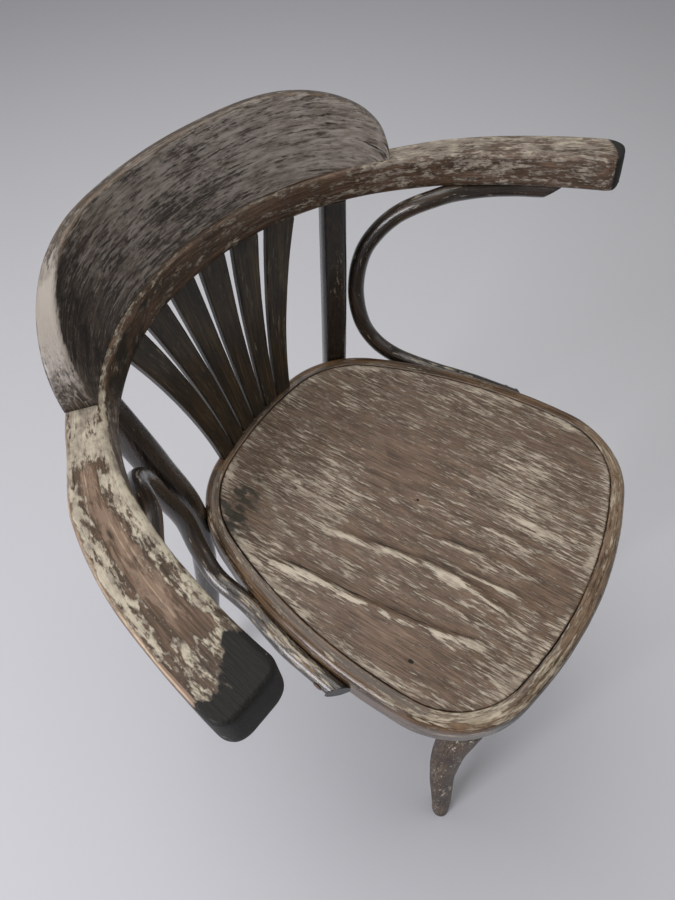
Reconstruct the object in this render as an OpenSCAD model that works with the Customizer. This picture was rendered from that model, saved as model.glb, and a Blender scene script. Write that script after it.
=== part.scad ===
// Bentwood armchair with a fan of flat slats, a curved crest board on the arm bow and a plywood seat.
// Millimetres, +Z up. The floor is z = 0, the front of the chair faces -Y and +X is the sitter's left.
// The origin is on the floor, under the middle of the outer box.

/* [Seat] */
// Height of the top of the seat panel
seat_height = 456; // [410:1:500]
// Half the width of the seat panel at its widest
seat_half_width = 177; // [160:1:200]
// Distance from the seat's middle to the front edge of the panel
seat_front = 181; // [165:1:200]
// Distance from the seat's middle to the back edge of the panel
seat_back = 192; // [180:1:210]
// Radius of the front edge of the panel
front_radius = 415; // [330:5:520]
// Radius of the side edges of the panel
side_radius = 495; // [420:5:640]
// Radius of the back edge of the panel
back_radius = 363; // [300:5:460]
// Radius of the two front corners of the panel
front_corner = 79; // [64:1:90]
// Radius of the two back corners of the panel
back_corner = 95; // [80:1:110]
// Thickness of the plywood panel
panel_thickness = 5; // [3:0.5:7]
// How far the bent rim stands out past the panel
rim_out = 16; // [14:1:22]
// How far the rim reaches in under the panel
rim_in = 24; // [18:1:30]
// Depth of the rim from top to bottom
rim_depth = 38; // [32:1:46]

/* [Arm bow] */
// Height of the top of the bow above the seat panel, over the seat's middle
bow_rise = 238; // [200:1:270]
// Rise of the bow towards the front, in degrees
bow_tilt = 7.6; // [0:0.2:9]
// Width of the arms where the hands rest
arm_width = 43; // [36:1:50]
// Width of the bow behind the sitter
bow_width = 29; // [28:1:38]
// Thickness of the bow from top to bottom
bow_thickness = 32; // [26:1:38]
// Clear distance from the seat's middle to the inside of the bow at the back
bow_back = 251; // [235:1:275]
// Inner radius of the bow behind the sitter
bow_back_radius = 249; // [235:1:280]
// Inner radius of the two rear bends
bow_bend_radius = 236; // [215:1:240]
// Inner radius of the arms, which are almost straight
bow_arm_radius = 545; // [460:5:700]
// Turn from the middle of the back to the start of a rear bend
bow_back_turn = 27; // [24:1:32]
// Turn from the middle of the back to the end of a rear bend
bow_bend_turn = 65; // [62:1:70]
// Distance from the seat's middle to the tips of the arms
arm_reach = 42; // [20:1:80]

/* [Back] */
// Height of the crest board above the bow
crest_height = 79; // [60:1:95]
// Thickness of the crest board along its top edge
crest_top = 12; // [9:0.5:16]
// How far the top of the crest stands behind its foot
crest_lean = 21; // [14:1:26]
// Turn from the middle of the back to the sitter's right end of the crest
crest_turn_right = 46; // [42:1:52]
// Turn from the middle of the back to the sitter's left end of the crest
crest_turn_left = 53; // [46:1:56]
// Width of a slat where it meets the bow
slat_top_width = 32; // [26:1:34]
// Width of a slat where it enters the rim
slat_foot_width = 20; // [16:0.5:20]
// Spacing of the slats along the bow
slat_top_pitch = 42; // [38:0.5:43]
// Spacing of the slats on the rim
slat_foot_pitch = 21; // [21:0.5:23]
// Thickness of a slat
slat_thickness = 8; // [6:0.5:9]
// How far the fan's heads sit towards the sitter's left
fan_head_shift = 4; // [-5:1:5]
// How far the fan's feet sit towards the sitter's left
fan_foot_shift = -4; // [-5:1:5]

/* [Legs] */
// Thickness of the rear posts at the seat
post_size = 27; // [24:1:30]
// How far the rear feet stand out past the posts, sideways and backwards
rear_splay = 42; // [25:1:50]
// Diameter of a front leg under the rim
front_leg_top = 37; // [34:1:42]
// Diameter of the feet
foot_size = 22; // [20:1:28]
// Forward sweep of a front foot
front_sweep = 30; // [15:1:40]

/* [Arm supports] */
// Diameter of the bent arm supports
support_rod = 18; // [16:0.5:21]
// Distance from the seat's middle to the front ends of the supports on the rim
support_reach = 42; // [34:1:48]

/* [Hidden] */

$fn = 96;
gap = 0.12;                 // play between glued or screwed wood faces
bore_play = 0.15;           // play of a screw in its hole, on the radius
slat_count = 6;             // one node each

SEAT_WOOD = "#7d685b";
BOW_WOOD = "#8b7a66";
DARK_WOOD = "#3f3328";
STEEL = "#6a625a";

// ---- plane geometry -------------------------------------------------------------------------------

function polar(r, a) = [r * cos(a), r * sin(a)];
function direction(p, q) = atan2(q[1] - p[1], q[0] - p[0]);
function mixed(a, b, t) = a + (b - a) * t;

// Where two circles cross; side picks the crossing left (+1) or right (-1) of the line from p to q.
function crossing(p, rp, q, rq, side) =
    let (d = norm(q - p),
         along = (rp * rp - rq * rq + d * d) / (2 * d),
         across = sqrt(rp * rp - along * along),
         e = (q - p) / d)
    p + along * e + side * across * [-e[1], e[0]];

// ---- seat outline: a closed chain of tangent arcs, front, corner, side, corner, back --------------

front_centre = [0, -seat_front + front_radius];
back_centre = [0, seat_back - back_radius];
side_centre = [seat_half_width - side_radius, -0.39 * seat_front];
front_corner_centre = crossing(front_centre, front_radius - front_corner,
                               side_centre, side_radius - front_corner, 1);
back_corner_centre = crossing(back_centre, back_radius - back_corner,
                              side_centre, side_radius - back_corner, -1);
turn_front = direction(front_centre, front_corner_centre);
turn_front_side = direction(side_centre, front_corner_centre);
turn_back_side = direction(side_centre, back_corner_centre);
turn_back = direction(back_centre, back_corner_centre);

// One arc is [centre, radius, start angle, end angle]; these are the arcs of the +X half.
FRONT_ARC = [front_centre, front_radius, -180 - turn_front, turn_front];
BACK_ARC = [back_centre, back_radius, turn_back, 180 - turn_back];
HALF_ARCS = [
    [front_corner_centre, front_corner, turn_front, turn_front_side],
    [side_centre, side_radius, turn_front_side, turn_back_side],
    [back_corner_centre, back_corner, turn_back_side, turn_back]
];

function arc_point(arc, a, out = 0) = arc[0] + polar(arc[1] + out, a);
function side_height_angle(y) = asin((y - side_centre[1]) / (side_radius + rim_out));
// x of the rim's outside at a distance y from the seat's middle, along the side arc
function rim_side_x(y, out = 0) =
    side_centre[0] + (side_radius + rim_out + out) * cos(side_height_angle(y));

// Sweeps children, drawn with x = distance outside the outline and y = height, along one arc.
module along_arc(arc) {
    translate(arc[0])
        rotate(arc[2])
            rotate_extrude(angle = arc[3] - arc[2])
                translate([arc[1], 0])
                    children();
}

module around_seat() {
    along_arc(FRONT_ARC) children();
    along_arc(BACK_ARC) children();
    for (side = [0, 1])
        mirror([side, 0, 0])
            for (arc = HALF_ARCS)
                along_arc(arc) children();
}

// Outline of a box whose corners are rounded in steps
function rounded_corner(c, r, start, steps) = [for (i = [0:steps]) c + polar(r, start + 90 * i / steps)];
function rounded_box(x0, x1, y0, y1, r, steps = 3) = concat(
    rounded_corner([x1 - r, y1 - r], r, 0, steps),
    rounded_corner([x0 + r, y1 - r], r, 90, steps),
    rounded_corner([x0 + r, y0 + r], r, 180, steps),
    rounded_corner([x1 - r, y0 + r], r, 270, steps)
);

// ---- bow: an open chain of tangent arcs, drawn flat and then tilted -------------------------------

// Turns are counted from +Y, towards +X; the local origin is the seat's middle.
function turned(r, a) = [r * sin(a), r * cos(a)];
bow_c1 = [0, bow_back - bow_back_radius];
bow_c2 = bow_c1 + turned(bow_back_radius - bow_bend_radius, bow_back_turn);
bow_c3 = bow_c2 + turned(bow_bend_radius - bow_arm_radius, bow_bend_turn);
BOW_ARCS = [[bow_c1, bow_back_radius], [bow_c2, bow_bend_radius], [bow_c3, bow_arm_radius]];
arm_turn = acos((-arm_reach - bow_c3[1]) / bow_arm_radius);
bow_top = seat_height + bow_rise;

function bow_arc_at(a) = a <= bow_back_turn ? 0 : a <= bow_bend_turn ? 1 : 2;
// Point of the flat bow at turn a and a distance out from its inside edge
function bow_flat(a, out) = let (arc = BOW_ARCS[bow_arc_at(a)]) arc[0] + turned(arc[1] + out, a);
// The same point in the chair, at a height h above the bow's top
function tilted(p, h) = [
    p[0],
    p[1] * cos(bow_tilt) + h * sin(bow_tilt),
    bow_top - p[1] * sin(bow_tilt) + h * cos(bow_tilt)
];
function mirror_x(p, side) = [side * p[0], p[1], p[2]];
function bow_point(a, out, h) = mirror_x(tilted(bow_flat(abs(a), out), h), a < 0 ? -1 : 1);
// Turn at which the bow passes a distance y from the seat's middle, on the arm
function arm_turn_at(y) = acos((y / cos(bow_tilt) - bow_c3[1]) / bow_arm_radius);

module in_bow_frame() {
    translate([0, 0, bow_top])
        rotate([-bow_tilt, 0, 0])
            children();
}

// ---- swept bodies ---------------------------------------------------------------------------------

function unit(v) = v / norm(v);
// Point on a smooth curve through the points of a list (Catmull-Rom), u from 0 to len - 1
function curve_at(points, u) =
    let (last = len(points) - 1,
         i = min(floor(u), last - 1),
         t = u - i,
         p0 = points[max(i - 1, 0)],
         p1 = points[i],
         p2 = points[i + 1],
         p3 = points[min(i + 2, last)])
    0.5 * (2 * p1 + (p2 - p0) * t + (2 * p0 - 5 * p1 + 4 * p2 - p3) * t * t
           + (3 * p1 - p0 - 3 * p2 + p3) * t * t * t);
function curve(points, steps) = [for (i = [0:steps]) curve_at(points, i * (len(points) - 1) / steps)];

// Joins rings of equal length into one closed skin; a twisted one has its walls in triangles
module skin(rings, twisted = false) {
    n = len(rings[0]);
    points = [for (ring = rings) for (p = ring) p];
    last = (len(rings) - 1) * n;
    walls = [for (j = [0:len(rings) - 2]) for (i = [0:n - 1])
        let (k = (i + 1) % n, a = j * n + i, b = j * n + k, c = (j + 1) * n + k, d = (j + 1) * n + i)
        each twisted ? [[a, b, c], [a, c, d]] : [[a, b, c, d]]];
    bottom = [for (i = [n - 1:-1:0]) i];
    top = [for (i = [0:n - 1]) last + i];
    polyhedron(points = points, faces = concat([bottom], walls, [top]), convexity = 6);
}

// The same for rings that follow a closed loop
module loop_skin(rings) {
    n = len(rings[0]);
    count = len(rings);
    walls = [for (j = [0:count - 1]) for (i = [0:n - 1])
        let (k = (i + 1) % n, next = (j + 1) % count)
        [j * n + k, j * n + i, next * n + i, next * n + k]];
    polyhedron(points = [for (ring = rings) for (p = ring) p], faces = walls, convexity = 8);
}

// Level ring with rounded sides: half sizes a and b, squareness e (1 is an ellipse)
function level_ring(c, a, b, e, turn = 0, n = 20) = [
    for (i = [0:n - 1])
        let (w = 360 * i / n,
             x = a * sign(cos(w)) * pow(abs(cos(w)), e),
             y = b * sign(sin(w)) * pow(abs(sin(w)), e))
        [c[0] + x * cos(turn) - y * sin(turn), c[1] + x * sin(turn) + y * cos(turn), c[2]]
];

// Round ring square to direction t, for paths that stay close to a plane across X
function rod_ring(c, t, r, n = 16) =
    let (b = unit(cross(t, [1, 0, 0])), m = cross(b, t))
    [for (i = [0:n - 1]) c + r * (cos(360 * i / n) * m + sin(360 * i / n) * b)];

module rod(path, r, end_scale = 0.8) {
    last = len(path) - 1;
    skin([for (i = [0:last])
        rod_ring(path[i], unit(path[min(i + 1, last)] - path[max(i - 1, 0)]),
                 r * (i == 0 || i == last ? end_scale : 1))]);
}

module both_sides() {
    for (side = [0, 1])
        mirror([side, 0, 0])
            children();
}

// ---- placing of the joints ------------------------------------------------------------------------

rim_top = seat_height + 0.6;
rim_bottom = rim_top - rim_depth;
rim_middle = (rim_top + rim_bottom) / 2;
notch = 1.5;                                  // depth of the housing where a post crosses the rim
post_half = post_size / 2;
post_turn = mixed(turn_back_side, turn_back, 0.39);
post_seat = arc_point(HALF_ARCS[2], post_turn, rim_out + post_half - notch);
post_out = polar(1, post_turn);
post_head_turn = bow_back_turn + 12;
post_head = bow_point(post_head_turn, post_half + 1, -bow_thickness + 1);
post_foot = [post_seat[0] + rear_splay, post_seat[1] + rear_splay, 0];
POST_POINTS = [
    post_head,
    mixed(post_head, [post_seat[0], post_seat[1], seat_height], 0.5) + [-1, -1, 0],
    [post_seat[0], post_seat[1], rim_middle],
    [post_seat[0] + 0.22 * rear_splay, post_seat[1] + 0.18 * rear_splay, 0.62 * seat_height],
    [post_seat[0] + 0.6 * rear_splay, post_seat[1] + 0.55 * rear_splay, 0.28 * seat_height],
    post_foot
];

leg_turn = mixed(turn_front, turn_front_side, 0.42);
leg_seat = arc_point(HALF_ARCS[0], leg_turn, (rim_out - rim_in) / 2 + 1);
leg_top = rim_bottom - gap;
LEG_POINTS = [
    [leg_seat[0], leg_seat[1], leg_top],
    [leg_seat[0] - 1, leg_seat[1] + 1, 0.74 * leg_top],
    [leg_seat[0] - 2, leg_seat[1] - 0.18 * front_sweep, 0.46 * leg_top],
    [leg_seat[0] - 2, leg_seat[1] - 0.7 * front_sweep, 0.17 * leg_top],
    [leg_seat[0] - 1, leg_seat[1] - front_sweep, 0]
];
leg_dowel = 11;                               // radius of the dowel on top of a front leg
dowel_length = 24;

// Point of a curve that runs downwards, at a height z, from the level at which the curve passes it
function at_height(points, z, lo, hi, n = 20) =
    let (mid = (lo + hi) / 2)
    n == 0 ? curve_at(points, mid)
    : curve_at(points, mid)[2] > z ? at_height(points, z, mid, hi, n - 1)
    : at_height(points, z, lo, mid, n - 1);

// ---- seat -----------------------------------------------------------------------------------------

// Section of the rim, as distance outside the panel's outline and height: a rounded bar with a
// rebate along its inner top edge, in which the panel lies.
RIM_SECTION = let (r = 9, ledge = seat_height - panel_thickness - gap) concat(
    rounded_corner([rim_out - r, rim_top - r], r, 0, 4),
    [[gap + 1, rim_top], [gap, rim_top - 1], [gap, ledge], [-rim_in, ledge]],
    rounded_corner([-rim_in + 5, rim_bottom + 5], 5, 180, 2),
    rounded_corner([rim_out - r, rim_bottom + r], r, 270, 3)
);

function arc_turns(arc, steps) = [for (i = [0:steps - 1]) mixed(arc[2], arc[3], i / steps)];
// Stations of the rim as [arc, turn], over the +X half and then mirrored back along the other one
RIM_HALF = concat(
    [for (a = arc_turns([front_centre, front_radius, -90, turn_front], 5)) [FRONT_ARC, a]],
    [for (a = arc_turns(HALF_ARCS[0], 11)) [HALF_ARCS[0], a]],
    [for (a = arc_turns(HALF_ARCS[1], 8)) [HALF_ARCS[1], a]],
    [for (a = arc_turns(HALF_ARCS[2], 9)) [HALF_ARCS[2], a]],
    [for (a = arc_turns([back_centre, back_radius, turn_back, 90], 4)) [BACK_ARC, a]],
    [[BACK_ARC, 90]]
);
function rim_ring(station, side) = [
    for (p = RIM_SECTION)
        let (q = arc_point(station[0], station[1], p[0])) [side * q[0], q[1], p[1]]
];

module rim_body() {
    last = len(RIM_HALF) - 1;
    loop_skin(concat([for (i = [0:last]) rim_ring(RIM_HALF[i], 1)],
                     [for (i = [last - 1:-1:1]) rim_ring(RIM_HALF[i], -1)]));
}

// Outline of a plate, a distance outside the panel's outline
function seat_outline(out) =
    let (half = [for (station = RIM_HALF) arc_point(station[0], station[1], out)])
    concat(half, [for (i = [len(half) - 2:-1:1]) [-half[i][0], half[i][1]]]);

module seat_rim() {
    color(SEAT_WOOD)
        difference() {
            rim_body();
            for (i = [1:slat_count]) slat_board(i, gap);
            both_sides() {
                leg_dowel_rod(bore_play);
                post_bolt_shank(bore_play);
                rim_screw_shank(bore_play);
                nut_seat();
            }
        }
}

module seat_panel() {
    color(SEAT_WOOD)
        translate([0, 0, seat_height - panel_thickness])
            linear_extrude(panel_thickness)
                polygon(seat_outline(-2 * gap));
}

// ---- bow and crest --------------------------------------------------------------------------------

function eased(t) = let (u = min(1, max(0, t))) u * u * (3 - 2 * u);
tip_round = 11;             // radius of the corners of an arm's tip
narrow_turn = bow_bend_turn - 13;
wide_turn = bow_bend_turn + 8;
function bow_width_at(a) = mixed(bow_width, arm_width, eased((abs(a) - narrow_turn) / (wide_turn - narrow_turn)));
// How much the rounded tip takes off each side, at a turn a
function tip_inset(a) =
    let (e = min(tip_round, bow_arm_radius * PI / 180 * (arm_turn - abs(a))))
    tip_round - sqrt(tip_round * tip_round - pow(tip_round - e, 2));

module arm_bow_body() {
    tip_turn = tip_round / bow_arm_radius * 180 / PI;
    shank_turn = arm_turn - tip_turn;
    steps = 26;
    half = concat([for (i = [0:steps]) shank_turn * i / steps],
                  [for (t = [0.35, 0.6, 0.8, 0.93, 1]) shank_turn + tip_turn * t]);
    turns = concat([for (i = [len(half) - 1:-1:1]) -half[i]], half);
    skin([for (a = turns)
        let (inset = tip_inset(a))
        [for (p = rounded_box(inset, bow_width_at(a) - inset, -bow_thickness, 0, 4)) bow_point(a, p[0], p[1])]]);
}

module arm_bow() {
    color(BOW_WOOD)
        difference() {
            arm_bow_body();
            for (i = [1:slat_count]) slat_board(i, gap);
            both_sides() {
                post_tenon(bore_play);
                arm_screw_shank(bore_play);
            }
            crest_screw_set(bore_play);
        }
}

crest_inner = 4.5;          // step from the bow's inside edge to the crest's face
crest_outer = bow_width - 1;
crest_fall = 130;           // length over which an end comes down
crest_lip = 5;              // height left at the very ends

// Height of the crest at a turn a: level along the middle, down in a quarter ellipse at each end
function crest_height_at(a) =
    let (left = (a < 0 ? crest_turn_right : crest_turn_left) - abs(a),
         s = min(crest_fall, left * PI / 180 * bow_back_radius))
    crest_lip + (crest_height - crest_lip) * sqrt(1 - pow(1 - s / crest_fall, 2));

// Section of the crest: the face leans back, the board thins towards its top edge
function crest_ring(a) =
    let (h = crest_height_at(a),
         up = h / crest_height,
         top_in = crest_inner + crest_lean - crest_height * sin(bow_tilt) * cos(a),
         face = mixed(crest_inner, top_in, up),
         rear = mixed(crest_outer, top_in + crest_top, up),
         r = min(3.5, 0.6 * h))
    [for (p = [[crest_inner, gap], [crest_outer, gap],
               [mixed(crest_outer, rear, 0.5), mixed(gap, h, 0.5)],
               [mixed(rear, crest_outer, r / h), h - r], [rear - 0.3 * r, h - 0.3 * r], [rear - r, h],
               [face + r, h], [face + 0.3 * r, h - 0.3 * r], [mixed(face, crest_inner, r / h), h - r],
               [mixed(crest_inner, face, 0.5), mixed(gap, h, 0.5)]])
        bow_point(a, p[0], p[1])];

// Stations of the crest, closer together towards its ends
crest_steps = 48;
CREST_TURNS = [for (i = [0:crest_steps])
    mixed(-crest_turn_right, crest_turn_left, 0.5 - 0.5 * cos(180 * i / crest_steps))];

module crest_rail() {
    color(BOW_WOOD)
        difference() {
            skin([for (a = CREST_TURNS) crest_ring(a)]);
            crest_screw_set(bore_play);
        }
}

// ---- fan of slats ---------------------------------------------------------------------------------

slat_tenon = 11;            // depth of a slat's end in the rim and in the bow
slat_set = slat_thickness / 2 + 2;   // middle of a slat behind the bow's inside edge

// Place of a slat in the fan, counted from its middle; slat 1 is at the sitter's right
function slat_number(i) = i - (slat_count + 1) / 2;
function slat_turn(i) =
    (slat_number(i) * slat_top_pitch + fan_head_shift) / (bow_back_radius + slat_set) * 180 / PI;
function slat_foot_x(i) = slat_number(i) * slat_foot_pitch + fan_foot_shift;
function slat_foot(i) = [
    slat_foot_x(i),
    seat_back + rim_out - slat_thickness / 2 - 2.5 - pow(slat_foot_x(i), 2) / (2 * back_radius),
    rim_top
];
function slat_head(i) = bow_point(slat_turn(i), slat_set, -bow_thickness);
function slat_foot_turn(i) = slat_foot_x(i) / back_radius * 180 / PI;

// Level section of a slat: half width w, turned to face the sitter
function slat_ring(c, w, turn, grow) =
    [for (p = rounded_box(-w - grow, w + grow, -slat_thickness / 2 - grow, slat_thickness / 2 + grow, 1.6, 1))
        [c[0] + p[0] * cos(turn) + p[1] * sin(turn), c[1] - p[0] * sin(turn) + p[1] * cos(turn), c[2]]];

// A slat rises side by side with its neighbours, then sweeps out, widens and turns with the bow.
// It runs straight on into the rim and the bow.
module slat_board(i, grow = 0) {
    foot = slat_foot(i);
    head = slat_head(i);
    steps = 12;
    skin([for (k = [steps + 1:-1:-1])
        let (t = k / steps,
             inside = min(1, max(0, t)),
             sweep = 0.45 * inside + 0.55 * inside * inside,
             wide = eased(0.5 * inside) * 2,
             past = k < 0 ? -slat_tenon - grow : k > steps ? slat_tenon + grow : 0,
             lean = (head[1] - foot[1]) / (head[2] - foot[2]),
             c = [mixed(foot[0], head[0], sweep), mixed(foot[1], head[1], inside) + lean * past,
                  mixed(foot[2], head[2], inside) + past])
        slat_ring(c, mixed(slat_foot_width, slat_top_width, wide) / 2,
                  mixed(slat_foot_turn(i), slat_turn(i), sweep), grow)], twisted = true);
}

module slat(i) {
    color(DARK_WOOD) slat_board(i);
}

// ---- legs -----------------------------------------------------------------------------------------

post_tenon_r = 8;

// Round tenon that carries the bow on a post
module post_tenon(play = 0) {
    in_bow_frame()
        translate(concat(bow_flat(post_head_turn, post_half + 1), -bow_thickness - 2))
            cylinder(r = post_tenon_r + play, h = 22 + play);
}

module post_body() {
    steps = 26;
    path = curve(POST_POINTS, steps);
    skin([for (i = [0:steps])
        let (z = path[i][2],
             below = max(0, 1 - z / rim_bottom),
             half = mixed(post_half, foot_size / 2, below))
        level_ring(path[i], half, half, mixed(0.62, 0.95, min(1, below * 1.6)), post_turn)]);
}

// One rear leg runs from the floor past the rim to the underside of the bow
module rear_post() {
    color(DARK_WOOD)
        difference() {
            union() {
                difference() {
                    post_body();
                    in_bow_frame()
                        translate([0, 0, -bow_thickness - gap])
                            cylinder(r = 400, h = 60);
                }
                post_tenon();
            }
            around_seat()
                translate([-rim_in, rim_bottom - gap])
                    square([rim_in + rim_out + gap, rim_depth + 2 * gap]);
            post_bolt_shank(bore_play);
        }
}

module leg_dowel_rod(play = 0) {
    translate([leg_seat[0], leg_seat[1], leg_top - 5])
        cylinder(r = leg_dowel + play, h = dowel_length + 5 + play);
}

module front_leg() {
    steps = 20;
    path = curve(LEG_POINTS, steps);
    color(DARK_WOOD)
        union() {
            skin([for (i = [0:steps])
                let (up = max(0, path[i][2] / leg_top),
                     half = mixed(foot_size, front_leg_top, pow(up, 0.75)) / 2)
                level_ring(path[i], half, half, 1, leg_turn)]);
            leg_dowel_rod();
        }
}

// ---- arm supports ---------------------------------------------------------------------------------

support_r = support_rod / 2;
seat_on = 1.5;              // how deep a rod is flattened where it lies on the rim or the arm

// Middle of the rod, at a distance y from the seat's middle or at a height z
function under_arm(y, across) =
    bow_point(arm_turn_at(y), across * arm_width, -bow_thickness - support_r + seat_on);
function beside_rim(y, lift) = [rim_side_x(y, support_r - seat_on), y, rim_middle + lift];
function beside_post(z, out, ahead) =
    let (p = at_height(POST_POINTS, z, 0, 3))
    [p[0] + out, p[1] - ahead, z];

arm_end = 2;                // front end of the rod under the arm, from the seat's middle
arm_across = 0.38;          // its place across the arm

// The rod leaves the arm, bends down close outside the post and runs forward along the rim.
SUPPORT_POINTS = [
    under_arm(arm_end, arm_across),
    under_arm(50, 0.34),
    under_arm(86, 0.2),
    post_head + [53, -93, 2],
    beside_post(bow_top - 78, 36, 54),
    beside_post(bow_top - 113, 23, 27),
    beside_post(bow_top - 157, 19, 18),
    beside_post(seat_height + 42, 20, 24),
    beside_post(seat_height + 11, 30, 37),
    beside_post(seat_height - 9, 40, 62),
    beside_rim(76, 5),
    beside_rim(24, 0),
    beside_rim(-support_reach, -3)
];

module support_rod_body() {
    rod(curve(SUPPORT_POINTS, 48), support_r);
}

// Slanted cut through the rod: takes away what lies past the point c in the direction n
module cut_past(c, n) {
    translate(c)
        rotate([0, acos(n[2] / norm(n)), atan2(n[1], n[0])])
            translate([-30, -30, 0])
                cube([60, 60, 40]);
}

module arm_support() {
    forward = [0, -1, 0];
    color(DARK_WOOD)
        difference() {
            support_rod_body();
            cut_past(under_arm(arm_end + support_r, arm_across), forward - [0, 0, 1]);
            cut_past(beside_rim(support_r - support_reach, -3), forward + [1, 0, 0]);
            around_seat()
                translate([-rim_in, rim_bottom - gap])
                    square([rim_in + rim_out + gap, rim_depth + 2 * gap]);
            in_bow_frame()
                translate([0, 0, -bow_thickness - gap])
                    cylinder(r = 400, h = 60);
            rim_screw_shank(bore_play);
            arm_screw_shank(bore_play);
        }
}

// ---- bolts and screws -----------------------------------------------------------------------------

// Points +Z along a level direction given by its turn from +X
module aim(point, turn) {
    translate(point)
        rotate([0, 90, turn])
            children();
}

post_bolt_r = 3;
nut_height = 5;
bolt_start = concat(post_seat + (post_half + 1) * post_out, rim_middle);
bolt_length = post_size - notch + rim_out + rim_in + nut_height + 6;

module post_bolt_shank(play = 0) {
    aim(bolt_start, post_turn + 180)
        cylinder(r = post_bolt_r + play, h = bolt_length);
}

// Carriage bolt: a shallow dome outside the post and a shank through post and rim
module post_bolts() {
    head_r = 8;
    dome = 4;
    sphere_r = (head_r * head_r + dome * dome) / (2 * dome);
    color(STEEL)
        both_sides() {
            post_bolt_shank();
            aim(bolt_start, post_turn)
                intersection() {
                    translate([0, 0, dome - sphere_r]) sphere(sphere_r);
                    cylinder(r = head_r + 1, h = dome);
                }
        }
}

washer_r = 8;
washer = 1.5;
spot_face = 1;              // depth of the flat that is cut for the washer in the rim's inside

module nut_seat() {
    aim(concat(arc_point(HALF_ARCS[2], post_turn, spot_face - rim_in), rim_middle), post_turn + 180)
        cylinder(r = washer_r + 1, h = 10);
}

module post_nuts() {
    color(STEEL)
        both_sides()
            aim(concat(arc_point(HALF_ARCS[2], post_turn, spot_face - rim_in - gap), rim_middle),
                post_turn + 180)
                difference() {
                    union() {
                        cylinder(r = washer_r, h = washer);
                        cylinder(r = 6, h = washer + nut_height, $fn = 6);
                    }
                    translate([0, 0, -1]) cylinder(r = post_bolt_r + bore_play, h = nut_height + 5);
                }
}

// Wood screw: countersunk head at the start of its hole, a plain shank along it
module wood_screw(shank_r, head_r, length, play = 0) {
    cylinder(r = shank_r + play, h = length + play);
    cylinder(r1 = head_r + play, r2 = shank_r + play, h = head_r - shank_r);
    if (play > 0)
        translate([0, 0, -20]) cylinder(r = head_r + play, h = 20);
}

screw_r = 2.2;
screw_head = 4.5;
rim_screw_back = 26;        // place of a screw along the rod, from the rod's end beside the rim
arm_screw_back = 28;        // and from its end under the arm

module rim_screw_shank(play = 0) {
    y = -support_reach + rim_screw_back;
    a = side_height_angle(y);
    start = concat(side_centre + polar(side_radius + rim_out + support_rod - seat_on - 0.8, a), rim_middle - 2);
    aim(start, a + 180)
        wood_screw(screw_r, screw_head, 38, play);
}

module support_rim_screws() {
    color(STEEL) both_sides() rim_screw_shank();
}

module arm_screw_shank(play = 0) {
    a = arm_turn_at(arm_end + arm_screw_back);
    in_bow_frame()
        translate(concat(bow_flat(a, arm_across * arm_width), -bow_thickness - support_rod + seat_on + 0.8))
            wood_screw(screw_r, screw_head, 38, play);
}

module support_arm_screws() {
    color(STEEL) both_sides() arm_screw_shank();
}

crest_screw_turns = [-33, -12, 12, 33];

module crest_screw_set(play = 0) {
    in_bow_frame()
        for (a = crest_screw_turns)
            let (p = bow_flat(abs(a), 0.6 * bow_width + 2))
            translate([sign(a) * p[0], p[1], -bow_thickness + 0.2])
                wood_screw(screw_r, screw_head, 60, play);
}

module crest_screws() {
    color(STEEL) crest_screw_set();
}

// ---- the chair ------------------------------------------------------------------------------------

leg_foot = LEG_POINTS[len(LEG_POINTS) - 1];
front_most = min(-seat_front - rim_out, leg_foot[1] - foot_size / 2);
back_most = max([for (a = CREST_TURNS) for (p = crest_ring(a)) p[1]]);
module placed() {
    translate([0, -(front_most + back_most) / 2, 0])
        children();
}

placed() seat_rim();
placed() seat_panel();
placed() arm_bow();
placed() crest_rail();
placed() slat(1);  // slat_1
placed() slat(2);  // slat_2
placed() slat(3);  // slat_3
placed() slat(4);  // slat_4
placed() slat(5);  // slat_5
placed() slat(6);  // slat_6
placed() rear_post();  // rear_post_left
placed() mirror([1, 0, 0]) rear_post();  // rear_post_right
placed() front_leg();  // front_leg_left
placed() mirror([1, 0, 0]) front_leg();  // front_leg_right
placed() arm_support();  // arm_support_left
placed() mirror([1, 0, 0]) arm_support();  // arm_support_right
placed() post_bolts();
placed() post_nuts();
placed() support_rim_screws();
placed() support_arm_screws();
placed() crest_screws();
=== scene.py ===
"""Looks of a weathered bentwood armchair: flaked grey-beige paint over dark varnished wood.

Lengths are worked out in millimetres from the middle of the seat, with the floor at z = 0, the front
of the chair towards -y and the sitter's left towards +x, and are turned to metres in the row frame
when a mesh is made.
"""

import math

import bpy
import numpy as np
from mathutils import Matrix, Vector


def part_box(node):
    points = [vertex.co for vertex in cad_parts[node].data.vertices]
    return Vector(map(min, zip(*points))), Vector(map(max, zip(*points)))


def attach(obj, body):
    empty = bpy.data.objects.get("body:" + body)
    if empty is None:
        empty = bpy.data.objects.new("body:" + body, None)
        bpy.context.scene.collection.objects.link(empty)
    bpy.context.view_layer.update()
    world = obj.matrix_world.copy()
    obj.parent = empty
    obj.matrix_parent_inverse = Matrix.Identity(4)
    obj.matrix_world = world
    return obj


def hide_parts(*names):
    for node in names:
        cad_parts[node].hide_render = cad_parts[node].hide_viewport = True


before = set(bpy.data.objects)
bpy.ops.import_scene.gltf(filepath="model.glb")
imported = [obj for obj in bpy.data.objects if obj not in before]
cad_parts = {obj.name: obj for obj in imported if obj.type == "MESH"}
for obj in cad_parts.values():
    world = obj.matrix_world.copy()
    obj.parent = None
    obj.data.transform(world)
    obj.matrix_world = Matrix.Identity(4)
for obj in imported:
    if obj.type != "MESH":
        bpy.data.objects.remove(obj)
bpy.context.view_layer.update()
BODY = "root"
MM = 0.001

# ---- sizes of the chair, the same as the solids have but for the left arm's rounder tip ----

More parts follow.
